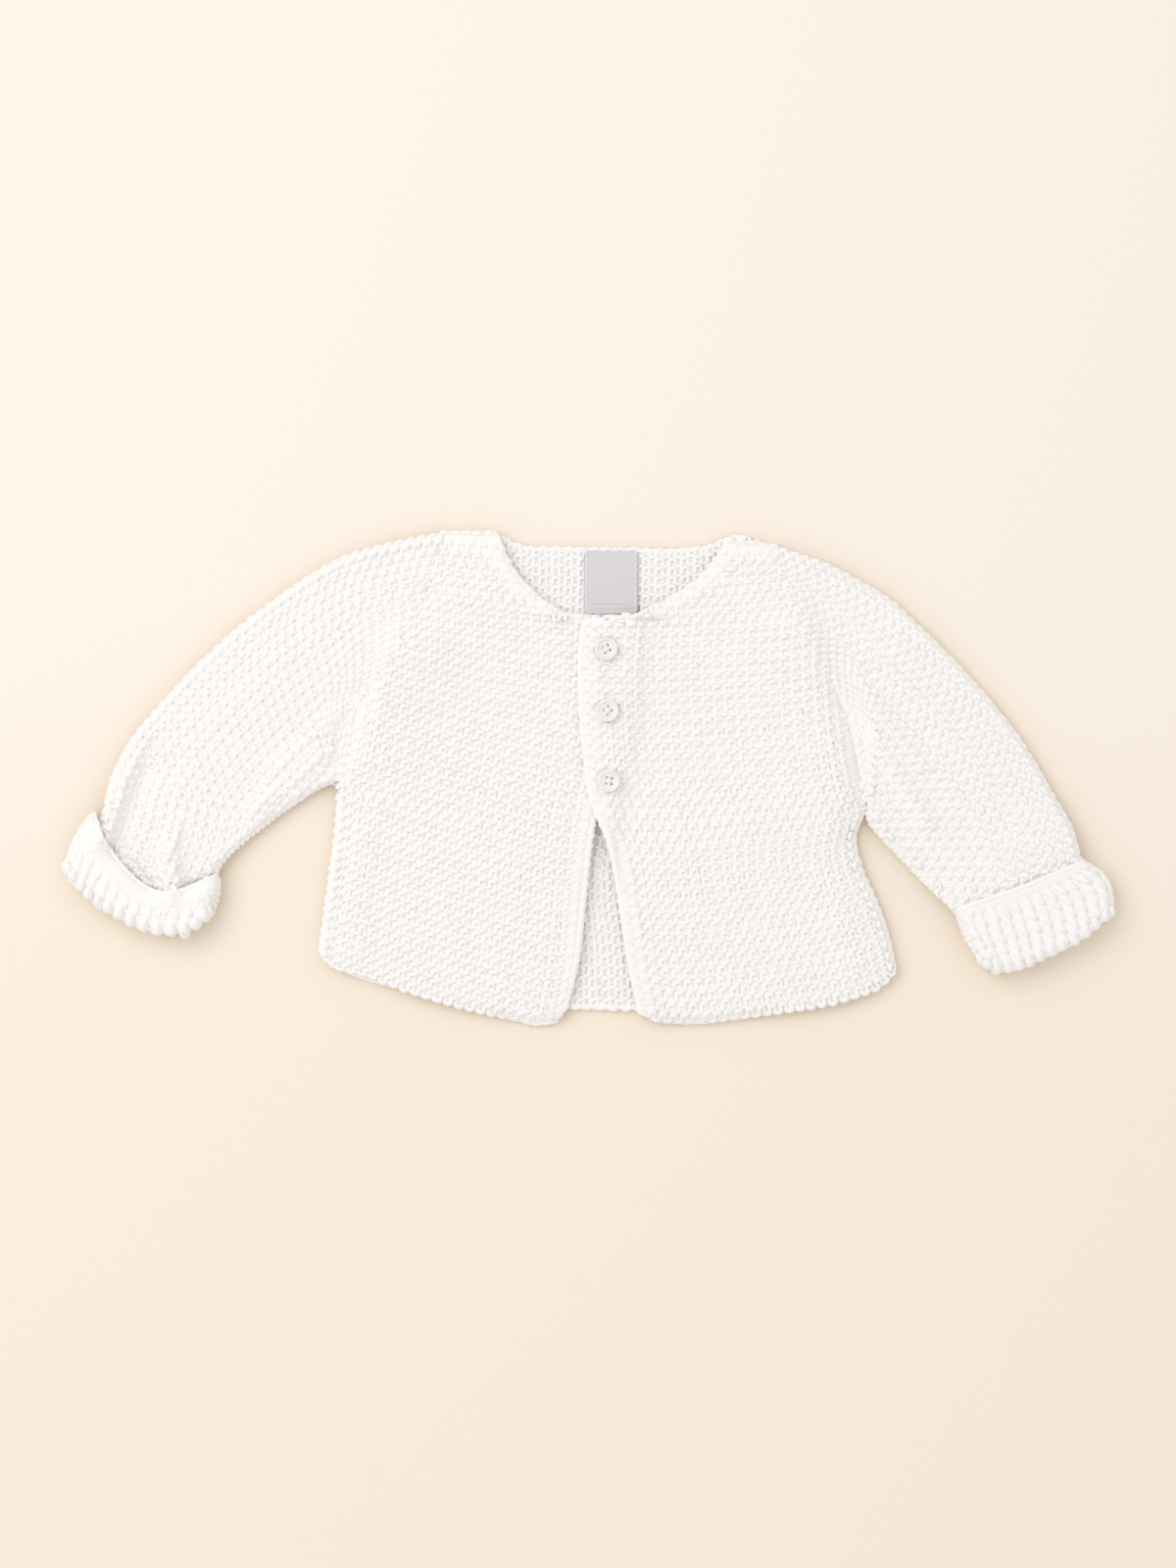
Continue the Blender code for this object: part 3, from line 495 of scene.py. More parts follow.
def makeStitchTree():
    # One garter stitch: the head of a loop, and beside it the sinker loop below, turned upside down
    tree, given, result = newTree("garterStitch", {
        "Head thickness": "Float", "Foot thickness": "Float", "Loop width": "Float",
        "Loop height": "Float", "Loop shift": "Float", "Loop dive": "Float", "Sinker drop": "Float",
        "Stitch pitch": "Float", "Unevenness": "Float", "Seed": "Int", "Yarn": "Material",
    })
    arc, place = startArc(tree, loopBend)
    wide = maths(tree, "MULTIPLY", place["X"], loopBend["squareness"])
    square = maths(tree, "MAXIMUM", maths(tree, "MINIMUM", wide, 1.0), -1.0)
    top = maths(tree, "POWER", maths(tree, "MAXIMUM", place["Y"], 0.0), loopBend["topPower"])
    flatTopped = maths(tree, "ADD", top, maths(tree, "MINIMUM", place["Y"], 0.0))
    tall = maths(tree, "MULTIPLY", flatTopped, given["Loop height"])
    bent = addNode(tree, "ShaderNodeCombineXYZ", {
        "X": maths(tree, "MULTIPLY", square, given["Loop width"]),
        "Y": maths(tree, "SUBTRACT", tall, given["Loop shift"]),
        "Z": maths(tree, "MULTIPLY", maths(tree, "SUBTRACT", place["Y"], 1.0), given["Loop dive"])})
    head = bendTube(tree, loopBend, arc, bent.outputs[0], place["Y"], given["Foot thickness"],
                    given["Head thickness"])
    beside = addNode(tree, "ShaderNodeCombineXYZ", {
        "X": maths(tree, "MULTIPLY", given["Stitch pitch"], 0.5),
        "Z": maths(tree, "MULTIPLY", given["Sinker drop"], -1.0)})
    sinker = addNode(tree, "GeometryNodeTransform", {
        "Geometry": head, "Translation": beside.outputs[0], "Rotation": (0.0, 0.0, math.pi)})
    pair = addNode(tree, "GeometryNodeJoinGeometry")
    tree.links.new(head, pair.inputs["Geometry"])
    tree.links.new(sinker.outputs["Geometry"], pair.inputs["Geometry"])
    setOutOnPoints(tree, given, result, pair.outputs["Geometry"])
    return tree


def makeLinkTree():    # one slanting link of a chain, thin at both ends
    tree, given, result = newTree("edgeLink", {
        "Link length": "Float", "Link thickness": "Float", "Link slant": "Float", "Link bend": "Float",
        "Unevenness": "Float", "Seed": "Int", "Yarn": "Material",
    })
    arc, place = startArc(tree, linkBend)
    bent = addNode(tree, "ShaderNodeCombineXYZ", {
        "X": maths(tree, "MULTIPLY", place["X"], maths(tree, "MULTIPLY", given["Link length"], 0.5)),
        "Z": maths(tree, "MULTIPLY", maths(tree, "SUBTRACT", place["Y"], 1.0), given["Link bend"])})
    link = bendTube(tree, linkBend, arc, bent.outputs[0], place["Y"], 0.0, given["Link thickness"])
    slant = addNode(tree, "ShaderNodeCombineXYZ", {"Z": given["Link slant"]})
    slanted = addNode(tree, "GeometryNodeTransform", {"Geometry": link, "Rotation": slant.outputs[0]})
    setOutOnPoints(tree, given, result, slanted.outputs["Geometry"])
    return tree


cord = {"swelling": 0.05, "step": 1.1, "sides": 10}


def makeCordTree():    # a soft rolled edge along a line, which swells a little at each ridge
    tree, given, result = newTree("rolledEdge", {
        "Cord radius": "Float", "Swelling": "Float", "Ridge pitch": "Float", "Yarn": "Material"})
    line = addNode(tree, "GeometryNodeMeshToCurve", {"Mesh": given["Geometry"]})
    even = addNode(tree, "GeometryNodeResampleCurve", {
        "Curve": line.outputs["Curve"], "Length": cord["step"] * mm}, mode="LENGTH")
    far = addNode(tree, "GeometryNodeSplineParameter").outputs["Length"]
    turns = maths(tree, "DIVIDE", maths(tree, "MULTIPLY", far, 2 * math.pi), given["Ridge pitch"])
    wave = maths(tree, "MULTIPLY", maths(tree, "COSINE", turns), given["Swelling"])
    section = addNode(tree, "GeometryNodeCurvePrimitiveCircle", {"Resolution": cord["sides"], "Radius": 1.0})
    tube = addNode(tree, "GeometryNodeCurveToMesh", {
        "Curve": even.outputs["Curve"], "Profile Curve": section.outputs["Curve"],
        "Scale": maths(tree, "MULTIPLY", maths(tree, "ADD", 1.0, wave), given["Cord radius"]),
        "Fill Caps": True})
    endTree(tree, given, result, tube.outputs["Mesh"])
    return tree


# Stitches, links and cords

stitch = {
    "pitch": 5.75,          # along a row
    "ridge": 5.75,          # from one ridge to the next on the body
    "sleeveRidge": 5.35,
    "lie": 1.1,             # how far the yarn's line lies below the cloth's face
    "unevenness": 0.045,
    "backPitch": 6.6,       # inside the back the cloth is a little wider
    "plumpBand": 13.0,      # beside the front edges the loops close up over this width
    "closest": 0.62, "widest": 1.25,    # how far a stitch can give way to the ridges beside it
    "seed": 7,
}
# Thickness of the soft yarn at a loop's head and where it is pulled thin, half the loop's width at the
# yarn's middle, its height, how far its middle lies off the ridge's own line, how far its feet go down
# into the cloth, and how much deeper the lower loops of a ridge lie
closeLoops = {"head": 3.1, "foot": 2.5, "width": 1.45, "height": 2.6, "shift": 0.6, "dive": 0.32,
              "sinkerDrop": 0.42}
openLoops = {"head": 3.0, "foot": 2.25, "width": 1.5, "height": 2.65, "shift": 0.6, "dive": 0.35,
             "sinkerDrop": 0.5}
edgeLoops = {"head": 3.3, "foot": 3.2, "width": 1.6, "height": 2.15, "shift": 0.62, "dive": 0.4,
             "sinkerDrop": 0.25}
wideLoops = {"head": 3.1, "foot": 2.5, "width": 1.66, "height": 2.75, "shift": 0.5, "dive": 0.1,
             "sinkerDrop": 0.15}


def layRows(points, number, outward, pitch, anchor=0, margins=(0.3, 0.3), firstAt=None, lead=0.0,
            fitBelow=-math.inf, tail=0.0):
    # points[i][j]: i runs along the rows, j across them. number: the row that each point lies on.
    # Every ridge gets a stitch at each pitch, counted from column anchor, or from firstAt by row, and
    # below row fitBelow the pitch gives way so that a row ends just as far from its edge as tail says.
    # Margins, lead and tail count in pitches.
    if number[0, -1] < number[0, 0]:
        points, number = points[:, ::-1], number[:, ::-1]
    alongGrid, upGrid = np.gradient(points, axis=0), np.gradient(points, axis=1)
    normal = unitOf(np.cross(alongGrid, upGrid))
    if np.mean(normal[:, :, 2]) * outward < 0:
        normal = -normal
    unit = unitOf(alongGrid)
    straight = upGrid - unit * np.sum(upGrid * unit, axis=2, keepdims=True)
    spacing = np.linalg.norm(straight, axis=2) / np.maximum(np.gradient(number, axis=1), 1e-4)
    columns, steps = np.arange(points.shape[0]), np.arange(points.shape[1])
    found, gapAtEnd = [], {}
    for row in range(math.ceil(number.min() - 0.5), math.floor(number.max() - 0.5) + 1):
        cross = np.array([np.interp(row + 0.5, number[i], steps, left=np.nan, right=np.nan)
                          for i in columns])
        there = columns[~np.isnan(cross)]
        if len(there) < 3:
            continue
        low = np.minimum(cross[there].astype(int), len(steps) - 2)
        w = (cross[there] - low)[:, None]

        def between(grid):
            return grid[there, low] * (1 - w) + grid[there, low + 1] * w

        place, out, upward = between(points), between(normal), upGrid[there, low]
        s = lengthAlong(place)
        start = np.interp(anchor, there, s) + lead * pitch
        if firstAt and row in firstAt and there[0] == 0:
            start = firstAt[row]
        step = pitch
        if row < fitBelow:
            room = s[-1] - start - tail * pitch
            step = room / max(1, round(room / pitch))
        centres = start + step * np.arange(-math.ceil(start / step), math.ceil((s[-1] - start) / step) + 1)
        centres = centres[(centres >= margins[0] * pitch) & (centres <= s[-1] - margins[1] * pitch)]
        if not len(centres):
            continue
        outs = sampled(out, s, centres)
        way = sampled(place, s, centres + 0.3 * pitch) - sampled(place, s, centres - 0.3 * pitch)
        hand = np.sum(np.cross(way, sampled(upward, s, centres)) * outs, axis=1)
        way = unitOf(way) * np.sign(hand)[:, None]
        found.append({
            "place": sampled(place, s, centres) - 0.25 * pitch * way,    # the middle of the loop pair
            "alongRow": way, "outward": outs,
            "spacing": sampled(between(spacing[..., None]), s, centres)[:, 0],
            "row": np.full(len(centres), row), "fromStart": centres})
        gapAtEnd[row] = s[-1] - centres[-1]
    return joinedUp(found), gapAtEnd


def pointsFor(name, places, ways, outs, stretch):
    mesh = bpy.data.meshes.new(name)
    mesh.from_pydata(places * mm, [], [])
    for key, values in (("alongRow", unitOf(ways)), ("outward", unitOf(outs)), ("stretch", stretch)):
        layer = mesh.attributes.new(key, "FLOAT_VECTOR", "POINT")
        layer.data.foreach_set("vector", values.astype(np.float32).ravel())
    return addObject(name, mesh)


def layStitches(name, laid, ridge, loops, lie=stitch["lie"], flat=1.0, pitch=stitch["pitch"]):
    stretch = np.ones((len(laid["place"]), 3))
    stretch[:, 1] = np.clip(laid["spacing"] / ridge, stitch["closest"], stitch["widest"])
    stretch[:, 2] = flat
    holder = pointsFor(name, laid["place"] - unitOf(laid["outward"]) * lie, laid["alongRow"],
                       laid["outward"], stretch)
    runTree(holder, stitchTree, {
        "Head thickness": loops["head"], "Foot thickness": loops["foot"], "Loop width": loops["width"],
        "Loop height": loops["height"] * ridge / stitch["ridge"], "Loop shift": loops["shift"],
        "Loop dive": loops["dive"], "Sinker drop": loops["sinkerDrop"], "Stitch pitch": pitch,
        "Unevenness": stitch["unevenness"], "Seed": stitch["seed"], "Yarn": yarn,
    })
    print(name, len(laid["place"]), "stitches", len(holder.data.polygons), "faces")
    return holder


edging = {"length": 8.0, "thickness": 3.5, "slant": 0.14, "bend": 0.9, "pitch": 3.3, "unevenness": 0.03,
          "seed": 3}


def layLinks(name, places, ways, outs, look):
    holder = pointsFor(name, places, ways, outs, np.ones(places.shape))
    runTree(holder, linkTree, {
        "Link length": look["length"], "Link thickness": look["thickness"], "Link slant": look["slant"],
        "Link bend": look["bend"], "Unevenness": look["unevenness"], "Seed": look["seed"], "Yarn": yarn,
    })
    print(name, len(places), "links", len(holder.data.polygons), "faces")
    return holder


def layEdge(name, lines, look):    # links along lines, each given as its points and its ways out
    places, ways, outs = [], [], []
    for line, out in lines:
        s = lengthAlong(line)
        count = max(1, round(s[-1] / look["pitch"]))
        at = (np.arange(count) + 0.5) * s[-1] / count
        places.append(sampled(line, s, at))
        ways.append(sampled(line, s, at + 1.0) - sampled(line, s, at - 1.0))
        outs.append(sampled(out, s, at))
    return layLinks(name, *(np.concatenate(each) for each in (places, ways, outs)), look)


def layCord(name, lines, radius, closed=False):
    mesh = bpy.data.meshes.new(name)
    ends = np.cumsum([0] + [len(line) for line in lines])
    edges = [(k, k + 1) for low, high in zip(ends[:-1], ends[1:]) for k in range(low, high - 1)]
    if closed:
        edges += [(high - 1, low) for low, high in zip(ends[:-1], ends[1:])]
    mesh.from_pydata(np.concatenate(lines) * mm, edges, [])
    holder = addObject(name, mesh)
    runTree(holder, cordTree, {
        "Cord radius": radius * mm, "Swelling": cord["swelling"], "Ridge pitch": stitch["ridge"] * mm,
        "Yarn": yarn,
    })
    faceOut(holder)
    print(name, "cord", len(holder.data.polygons), "faces")
    return holder


# Finishes

def startFinish(name, colour, roughness, sheen=0.0):
    material = bpy.data.materials.new(name)
    material.use_nodes = True
    tree = material.node_tree
    shader = tree.nodes["Principled BSDF"].inputs
    shader["Base Color"].default_value = (*colour, 1.0)
    shader["Roughness"].default_value = roughness
    shader["Sheen Weight"].default_value = sheen
    shader["Sheen Roughness"].default_value = 0.5
    return material, tree, shader, addNode(tree, "ShaderNodeTexCoord").outputs["Object"]


def noiseAt(tree, where, scale, detail, roughness=0.5, distortion=0.0):
    return addNode(tree, "ShaderNodeTexNoise", {
        "Vector": where, "Scale": scale, "Detail": detail, "Roughness": roughness,
        "Distortion": distortion}).outputs[0]


def blendOf(tree, share, first, second):    # of plain colours, or of what other nodes give
    first, second = ((*each, 1.0) if isinstance(each, tuple) else each for each in (first, second))
    return addNode(tree, "ShaderNodeMix", {"Factor": share, 6: first, 7: second},
                   data_type="RGBA").outputs[2]


def raiseBy(tree, shader, height, strength, depth):
    bump = addNode(tree, "ShaderNodeBump", {"Height": height, "Strength": strength, "Distance": depth})
    tree.links.new(bump.outputs["Normal"], shader["Normal"])


def makeYarnFinish():
    look = {"light": (0.968, 0.955, 0.947), "deep": (0.935, 0.917, 0.905), "roughness": 0.88,
            "sheen": 0.2, "cloudScale": 130.0, "fibreScale": 900.0, "fibreStrength": 0.35,
            "fibreDepth": 0.0004}
    material, tree, shader, where = startFinish("cottonYarn", look["light"], look["roughness"],
                                                look["sheen"])
    cloud = noiseAt(tree, where, look["cloudScale"], 3.0)
    tree.links.new(blendOf(tree, cloud, look["light"], look["deep"]), shader["Base Color"])
    fibre = noiseAt(tree, where, look["fibreScale"], 4.0, roughness=0.7)
    raiseBy(tree, shader, fibre, look["fibreStrength"], look["fibreDepth"])
    return material


def makeShadedGroundFinish():
    # painted shade: the ground is coloured a little darker and warmer than the yarn, so that what shows of
    # it between the stitches reads as the shade between them
    look = {"colour": (0.94, 0.92, 0.905), "roughness": 0.95, "fibreScale": 600.0, "fibreStrength": 0.5,
            "fibreDepth": 0.0006}
    material, tree, shader, where = startFinish("shadedKnitGround", look["colour"], look["roughness"])
    fibre = noiseAt(tree, where, look["fibreScale"], 4.0)
    raiseBy(tree, shader, fibre, look["fibreStrength"], look["fibreDepth"])
    return material


def makeLabelFinish(middle, half):
    look = {"satin": (0.705, 0.685, 0.705), "selvedge": (0.64, 0.62, 0.66), "ink": (0.36, 0.33, 0.40),
            "roughness": 0.55, "sheen": 0.1, "selvedgeWidth": 1.0, "selvedgeShare": 0.6,
            "cloudScale": 260.0, "weave": 700.0, "weaveStrength": 0.6, "weaveDepth": 0.00012,
            "weaveShare": 0.3, "lines": (5.1, 2.6), "lineWidth": 0.16, "lineMargin": 3.4, "inkShare": 0.55}
    material, tree, shader, where = startFinish("labelSatin", look["satin"], look["roughness"],
                                                look["sheen"])
    place = addNode(tree, "ShaderNodeSeparateXYZ", {"Vector": where}).outputs
    offset = maths(tree, "ABSOLUTE", maths(tree, "SUBTRACT", place["X"], middle[0] * mm))
    rim = maths(tree, "GREATER_THAN", offset, (half[0] - look["selvedgeWidth"]) * mm)
    lines = [maths(tree, "COMPARE", place["Y"], (middle[1] - half[1] + above) * mm, look["lineWidth"] * mm)
             for above in look["lines"]]    # plain writing lines, above the lower end
    inked = maths(tree, "MULTIPLY", maths(tree, "MAXIMUM", *lines),
                  maths(tree, "LESS_THAN", offset, (half[0] - look["lineMargin"]) * mm))
    cloud = noiseAt(tree, where, look["cloudScale"], 4.0)
    weave = maths(tree, "MULTIPLY", *(
        addNode(tree, "ShaderNodeTexWave", {"Vector": where, "Scale": look["weave"], "Distortion": 0.3},
                bands_direction=way).outputs[1] for way in ("X", "Y")))
    uneven = maths(tree, "MULTIPLY", maths(tree, "ADD", cloud, weave), look["weaveShare"])
    woven = blendOf(tree, uneven, look["satin"], look["selvedge"])
    edged = blendOf(tree, maths(tree, "MULTIPLY", rim, look["selvedgeShare"]), woven, look["selvedge"])
    ruled = blendOf(tree, maths(tree, "MULTIPLY", inked, look["inkShare"]), edged, look["ink"])
    tree.links.new(ruled, shader["Base Color"])
    raiseBy(tree, shader, weave, look["weaveStrength"], look["weaveDepth"])
    return material


def makeButtonFinish():
    look = {"light": (0.90, 0.885, 0.855), "deep": (0.82, 0.80, 0.765), "cloudScale": 240.0,
            "cloudDistortion": 1.5, "roughness": 0.3, "polished": 0.24, "dull": 0.42, "coat": 0.15,
            "bumpStrength": 0.15, "bumpDepth": 0.0002}
    material, tree, shader, where = startFinish("pearlButton", look["light"], look["roughness"])
    shader["Coat Weight"].default_value = look["coat"]
    cloud = noiseAt(tree, where, look["cloudScale"], 3.0, distortion=look["cloudDistortion"])
    tree.links.new(blendOf(tree, cloud, look["light"], look["deep"]), shader["Base Color"])
    polish = addNode(tree, "ShaderNodeMapRange", {"Value": cloud, 3: look["polished"], 4: look["dull"]})
    tree.links.new(polish.outputs[0], shader["Roughness"])
    raiseBy(tree, shader, cloud, look["bumpStrength"], look["bumpDepth"])
    return material


yarn = makeYarnFinish()
ground = makeShadedGroundFinish()
stitchTree = makeStitchTree()
linkTree = makeLinkTree()
cordTree = makeCordTree()
print("yarn and stitch trees made")

rightEdge = joinedCurve(rightFrontEdge, rightNeck, rows["neck"])
leftEdge = joinedCurve(leftFrontEdge, leftNeck, rows["neck"])
rightEdgeLine = rightEdge(np.linspace(0, rows["neck"], 60))
backHemLine = curveThrough(backHem)(np.linspace(0, 1, 60))


# Fronts

frontPanel = {
    "width": 140.0,                     # about, for the share of it that the ground's rim takes up
    "fillStart": 1.0,                   # from the front edge to where the fill begins
    "underFill": 3.0, "overFill": 1.0,  # over which it grows on the lower and on the upper front
    "fillSlope": 6.0,                   # over which it runs out again
    "shoulderFill": 1.8,                # the same at the shoulder, in rows
    "looseFrom": 18, "looseRows": 12,   # rows in which open loops take over from close ones
    "flatness": 0.85,                   # share of their height that the loops keep
    "edge": {"radius": 1.85, "lift": 1.2, "inset": 1.7},
    "hem": {**edging, "thickness": 2.6, "unevenness": 0.08, "lift": 1.1, "inset": 2.0},
    "neck": {**edging, "thickness": 3.3, "length": 7.0, "unevenness": 0.05, "lift": 0.9, "inset": 1.9,
             "after": 0.3, "before": 0.9},    # rows that it leaves free at the corner and at the shoulder
    "fold": {"radius": 3.1, "sideLift": 0.1, "shoulderLift": 0.4, "shoulderShare": 0.93},    # of its length
}


def standoff(plan, sideDistance, topDistance, row):
    besideSleeve = smooth(0.5 + (row - rows["armpit"]) / rows["armpitBlend"])
    fromSide = smooth(sideDistance / cloth["edgeSoftness"]) * (1 - besideSleeve) + besideSleeve
    fromTop = smooth((topDistance + cloth["shoulderStandoff"]) / cloth["edgeSoftness"])
    fromHem = smooth((row + cloth["hemStandoff"]) / cloth["hemRows"])
    return cloth["seamGap"] + (cloth["air"] + foldLift(bodyFolds, plan)) * fromSide * fromTop * fromHem


def frontShape(side, edge, hem, over):
    sideCurve, hemCurve = curveThrough(side), curveThrough(hem)

    def shoulder(share):
        share = np.asarray(share, float)[..., None]
        return (1 - share) * sideCurve(total) + share * edge(total)

    plan = patchOf(hemCurve, shoulder, lambda s: sideCurve(s * total), lambda s: edge(s * total))

    def at(row, across):    # plan, underside and face
        row, across = np.broadcast_arrays(np.asarray(row, float), np.asarray(across, float))
        here = plan(row / total, across)
        fromSide = np.linalg.norm(here - plan(row / total, np.zeros_like(across)), axis=-1)
        fromTop = np.linalg.norm(here - plan(np.ones_like(row), across), axis=-1)
        fromHem = np.linalg.norm(here - plan(np.zeros_like(row), across), axis=-1)
        fromEdge = np.linalg.norm(here - plan(row / total, np.ones_like(across)), axis=-1)
        low = cloth["wall"] + standoff(here, fromSide, fromTop, row)
        if over:
            pastEdge = -distanceTo(rightEdgeLine, here)
            onOther = 1 - smooth((pastEdge - cloth["bandLevel"]) / cloth["bandSlope"])
            low = low + (cloth["wall"] + cloth["bandGap"]) * onOther
        pastHem = -distanceTo(backHemLine, here)
        low = low - cloth["wall"] * smooth((pastHem - cloth["hemLevel"]) / cloth["hemDrop"])
        sideTurn = cloth["sideCurl"] * (1 - smooth((row - rows["armpit"] + 2) / 3))
        face = low + cloth["wall"] - curl(fromSide, sideTurn) - curl(fromTop, cloth["sideCurl"])
        return here, low, face - curl(fromHem, cloth["edgeCurl"]) - curl(fromEdge, cloth["edgeCurl"])

    return at


def makeFront(name, side, edge, hem, over):
    shape = frontShape(side, edge, hem, over)
    rim = cloth["inset"] / frontPanel["width"]
    row, across = np.meshgrid(np.linspace(cloth["rimRows"], total - cloth["rimRows"], 2 * total),
                              np.linspace(rim, 1 - rim, 37), indexing="ij")
    joint = smooth((row - rows["armpit"] + 1) / 2)    # beside the sleeve the ground runs up to it
    across = across - rim * joint * (1 - across) / (1 - rim)
    here, low, _ = shape(row, across)
    fromEdge = np.linalg.norm(here - shape(row, 1.0)[0], axis=-1)
    fill = 1 - smooth((fromEdge - 0.5 * stitch["plumpBand"]) / frontPanel["fillSlope"])
    growth = frontPanel["overFill" if over else "underFill"]
    fill = fill * smooth((fromEdge - frontPanel["fillStart"]) / growth)
    fill = np.maximum(fill, smooth(row - total + frontPanel["shoulderFill"]))
    height = low + cloth["ground"] + cloth["bandFill"] * fill
    shell = makeWall(name + "Cloth", at3(here, height), at3(here, low), ground)
    area = cutArea(at3(here, low))

    across, row = np.meshgrid(1 - crowded(90), total * crowded(200), indexing="ij")
    here, _, face = shape(row, across)
    laid, gaps = layRows(at3(here, face), row, 1.0, stitch["pitch"], margins=(0.6, 0.0), lead=0.9,
                         fitBelow=rows["armpit"], tail=1.62)
    toss, spread = np.random.default_rng(stitch["seed"]).random((2, len(laid["row"])))
    beside = laid["fromStart"] < stitch["plumpBand"] * (0.5 + 0.5 * spread)
    loose = toss <= smooth((laid["row"] - frontPanel["looseFrom"]) / frontPanel["looseRows"])
    kinds = (("BandStitches", beside, edgeLoops), ("CloseStitches", ~beside & ~loose, closeLoops),
             ("OpenStitches", ~beside & loose, openLoops))
    stitches = [layStitches(name + kind, pickedFrom(laid, which), stitch["ridge"], loops,
                            flat=frontPanel["flatness"]) for kind, which, loops in kinds]

    def along(at, inner, lift, inset):    # a line inside the outline, and its ways out
        plan, below, _ = shape(*at)
        inside = shape(*inner)[0]
        away = at3(unitOf(plan - inside), 0.0)
        return at3(plan + inset * unitOf(inside - plan), below + lift), away + 0.8 * upwards

    def upEdge(up, look):
        return along((up, 1.0), (up, 0.9), look["lift"], look["inset"])

    run = np.linspace(0, 1, 160)
    line = upEdge(0.25 + run * rows["neck"], frontPanel["edge"])[0]
    edge = layCord(name + "Edge", [line], frontPanel["edge"]["radius"])
    onHem, look = 0.03 + 0.95 * run, frontPanel["hem"]
    hem = layEdge(name + "Hem", [along((0, onHem), (2, onHem), look["lift"], look["inset"])], look)
    look = frontPanel["neck"]
    up = rows["neck"] + look["after"] + run * (total - rows["neck"] - look["after"] - look["before"])
    neck = layEdge(name + "Neck", [upEdge(up, look)], look)
    fold = frontPanel["fold"]    # at side and shoulder the front and the back are one piece, folded
    up, onShoulder = np.linspace(cloth["rimRows"], rows["armpit"], 60), fold["shoulderShare"] * run
    lines = [along((up, 0), (up, 0.1), 0, fold["radius"])[0],
             along((total, onShoulder), (total - 3, onShoulder), 0, fold["radius"])[0]]
    for line, lift in zip(lines, (fold["sideLift"], fold["shoulderLift"])):
        line[:, 2] = cloth["wall"] + lift
    seam = layCord(name + "Side", lines, fold["radius"])
    return shell, [*stitches, edge, hem, neck, seam], area, gaps


# Back

backPanel = {
    "width": 290.0,
    "groundLow": 1.075, "groundTop": 1.975,      # heights of the ground, midway in the cloth
    "windows": ((-50.0, 70.0, 70.0, 200.0),      # x and y between which the inside shows: at the neck,
                (-28.0, 40.0, -200.0, 5.0)),     # and in the opening
    "inside": {"lie": 0.95, "flat": 0.75},
    "outside": {"lie": 0.8, "flat": 0.45},
    "sideCurl": 1.6,
    "edge": {"radius": 1.5, "height": 1.6, "inset": 0.28},
}


def makeBack():
    left, right = curveThrough(rightSide), curveThrough(leftSide)
    plan = patchOf(curveThrough(backHem), curveThrough(backTop), lambda s: left(s * total),
                   lambda s: right(s * total))
    rim = cloth["inset"] / backPanel["width"]
    row, across = np.meshgrid(np.linspace(cloth["rimRows"], total - cloth["rimRows"], 2 * total),
                              np.linspace(rim, 1 - rim, 61), indexing="ij")
    here = plan(row / total, across)
    shell = makeWall("backCloth", at3(here, backPanel["groundTop"]), at3(here, backPanel["groundLow"]),
                     ground)

    across, row = np.meshgrid(crowded(120), total * crowded(200), indexing="ij")
    here = plan(row / total, across)
    laid, _ = layRows(at3(here, cloth["wall"]), row, 1.0, stitch["backPitch"], anchor=60)
    x, y = laid["place"][:, 0], laid["place"][:, 1]
    shows = np.zeros(len(x), bool)
    for fromX, toX, fromY, toY in backPanel["windows"]:
        shows |= (x > fromX) & (x < toX) & (y > fromY) & (y < toY)
    inner = layStitches("backInnerStitches", pickedFrom(laid, shows), stitch["ridge"], wideLoops,
                        pitch=stitch["backPitch"], **backPanel["inside"])

    curled = curl(backPanel["width"] * np.minimum(across, 1 - across), backPanel["sideCurl"])
    laid, _ = layRows(at3(here, curled), row, -1.0, stitch["pitch"], anchor=60, margins=(0.7, 0.7))
    x = laid["place"][:, 0]
    outer = [layStitches("backOuterStitches" + half, pickedFrom(laid, which), stitch["ridge"], closeLoops,
                         **backPanel["outside"]) for half, which in (("Right", x < 10), ("Left", x >= 10))]

    look = backPanel["edge"]
    run = np.linspace(0, 1, 160)
    topLine = curveThrough(backTop)(run)
    neck = [np.interp(edge(total)[0], topLine[:, 0], run) for edge in (rightEdge, leftEdge)]
    neck = np.linspace(neck[0] - 0.05, neck[1] + 0.05, 80)
    besideSleeve = np.linspace(rows["armpit"] + cloth["rimRows"], total - cloth["rimRows"], 60) / total
    places = [(look["inset"] / total, run), (1 - look["inset"] / total, neck), (besideSleeve, 0),
              (besideSleeve, 1)]
    edges = layCord("backEdges", [at3(plan(*place), look["height"]) for place in places], look["radius"])
    return shell, [inner, *outer, edges], cutArea(at3(here, 0.0))


# Sleeves

sleevePanel = {
    "turn": 1.3,                           # the cloth turns back over this many times its thickness
    "fullFrom": 0.92, "fullOver": 0.06,    # share of the sleeve where its ground grows to the full wall
    "foldFill": 0.8,                       # share of the fill that the ground has round its folds
    "bandShare": 0.6, "fillSlope": 6.0,    # share of the cuff's smooth band up to which it is filled
    "joinReach": 48.0,                     # over which the body's rows run on into the sleeve's
    "joinFrom": 0.6, "joinOver": 0.4,      # share of the way across from which they no longer do
    "stitched": 0.94,                      # share of the sleeve that has stitches, to inside the cuff
    "upper": {"flat": 0.85},
    "under": {"lie": 1.0, "flat": 0.6},
    "band": {"lie": 1.3, "flat": 0.7},
    "ribs": {**edging, "slant": 0.3, "length": 9.0, "unevenness": 0.08},
    "knobs": {**edging, "slant": 0.15, "bend": 4.2, "unevenness": 0.08, "lift": 0.8},
    "proud": 0.1,                          # how far the knobs stand over the cuff's face
    "edge": {"radius": 1.45, "inset": 1.5},
    "seam": {**edging, "length": 6.0, "slant": 0.5, "sleeveEnd": 0.9, "cuffStart": 0.06},
}


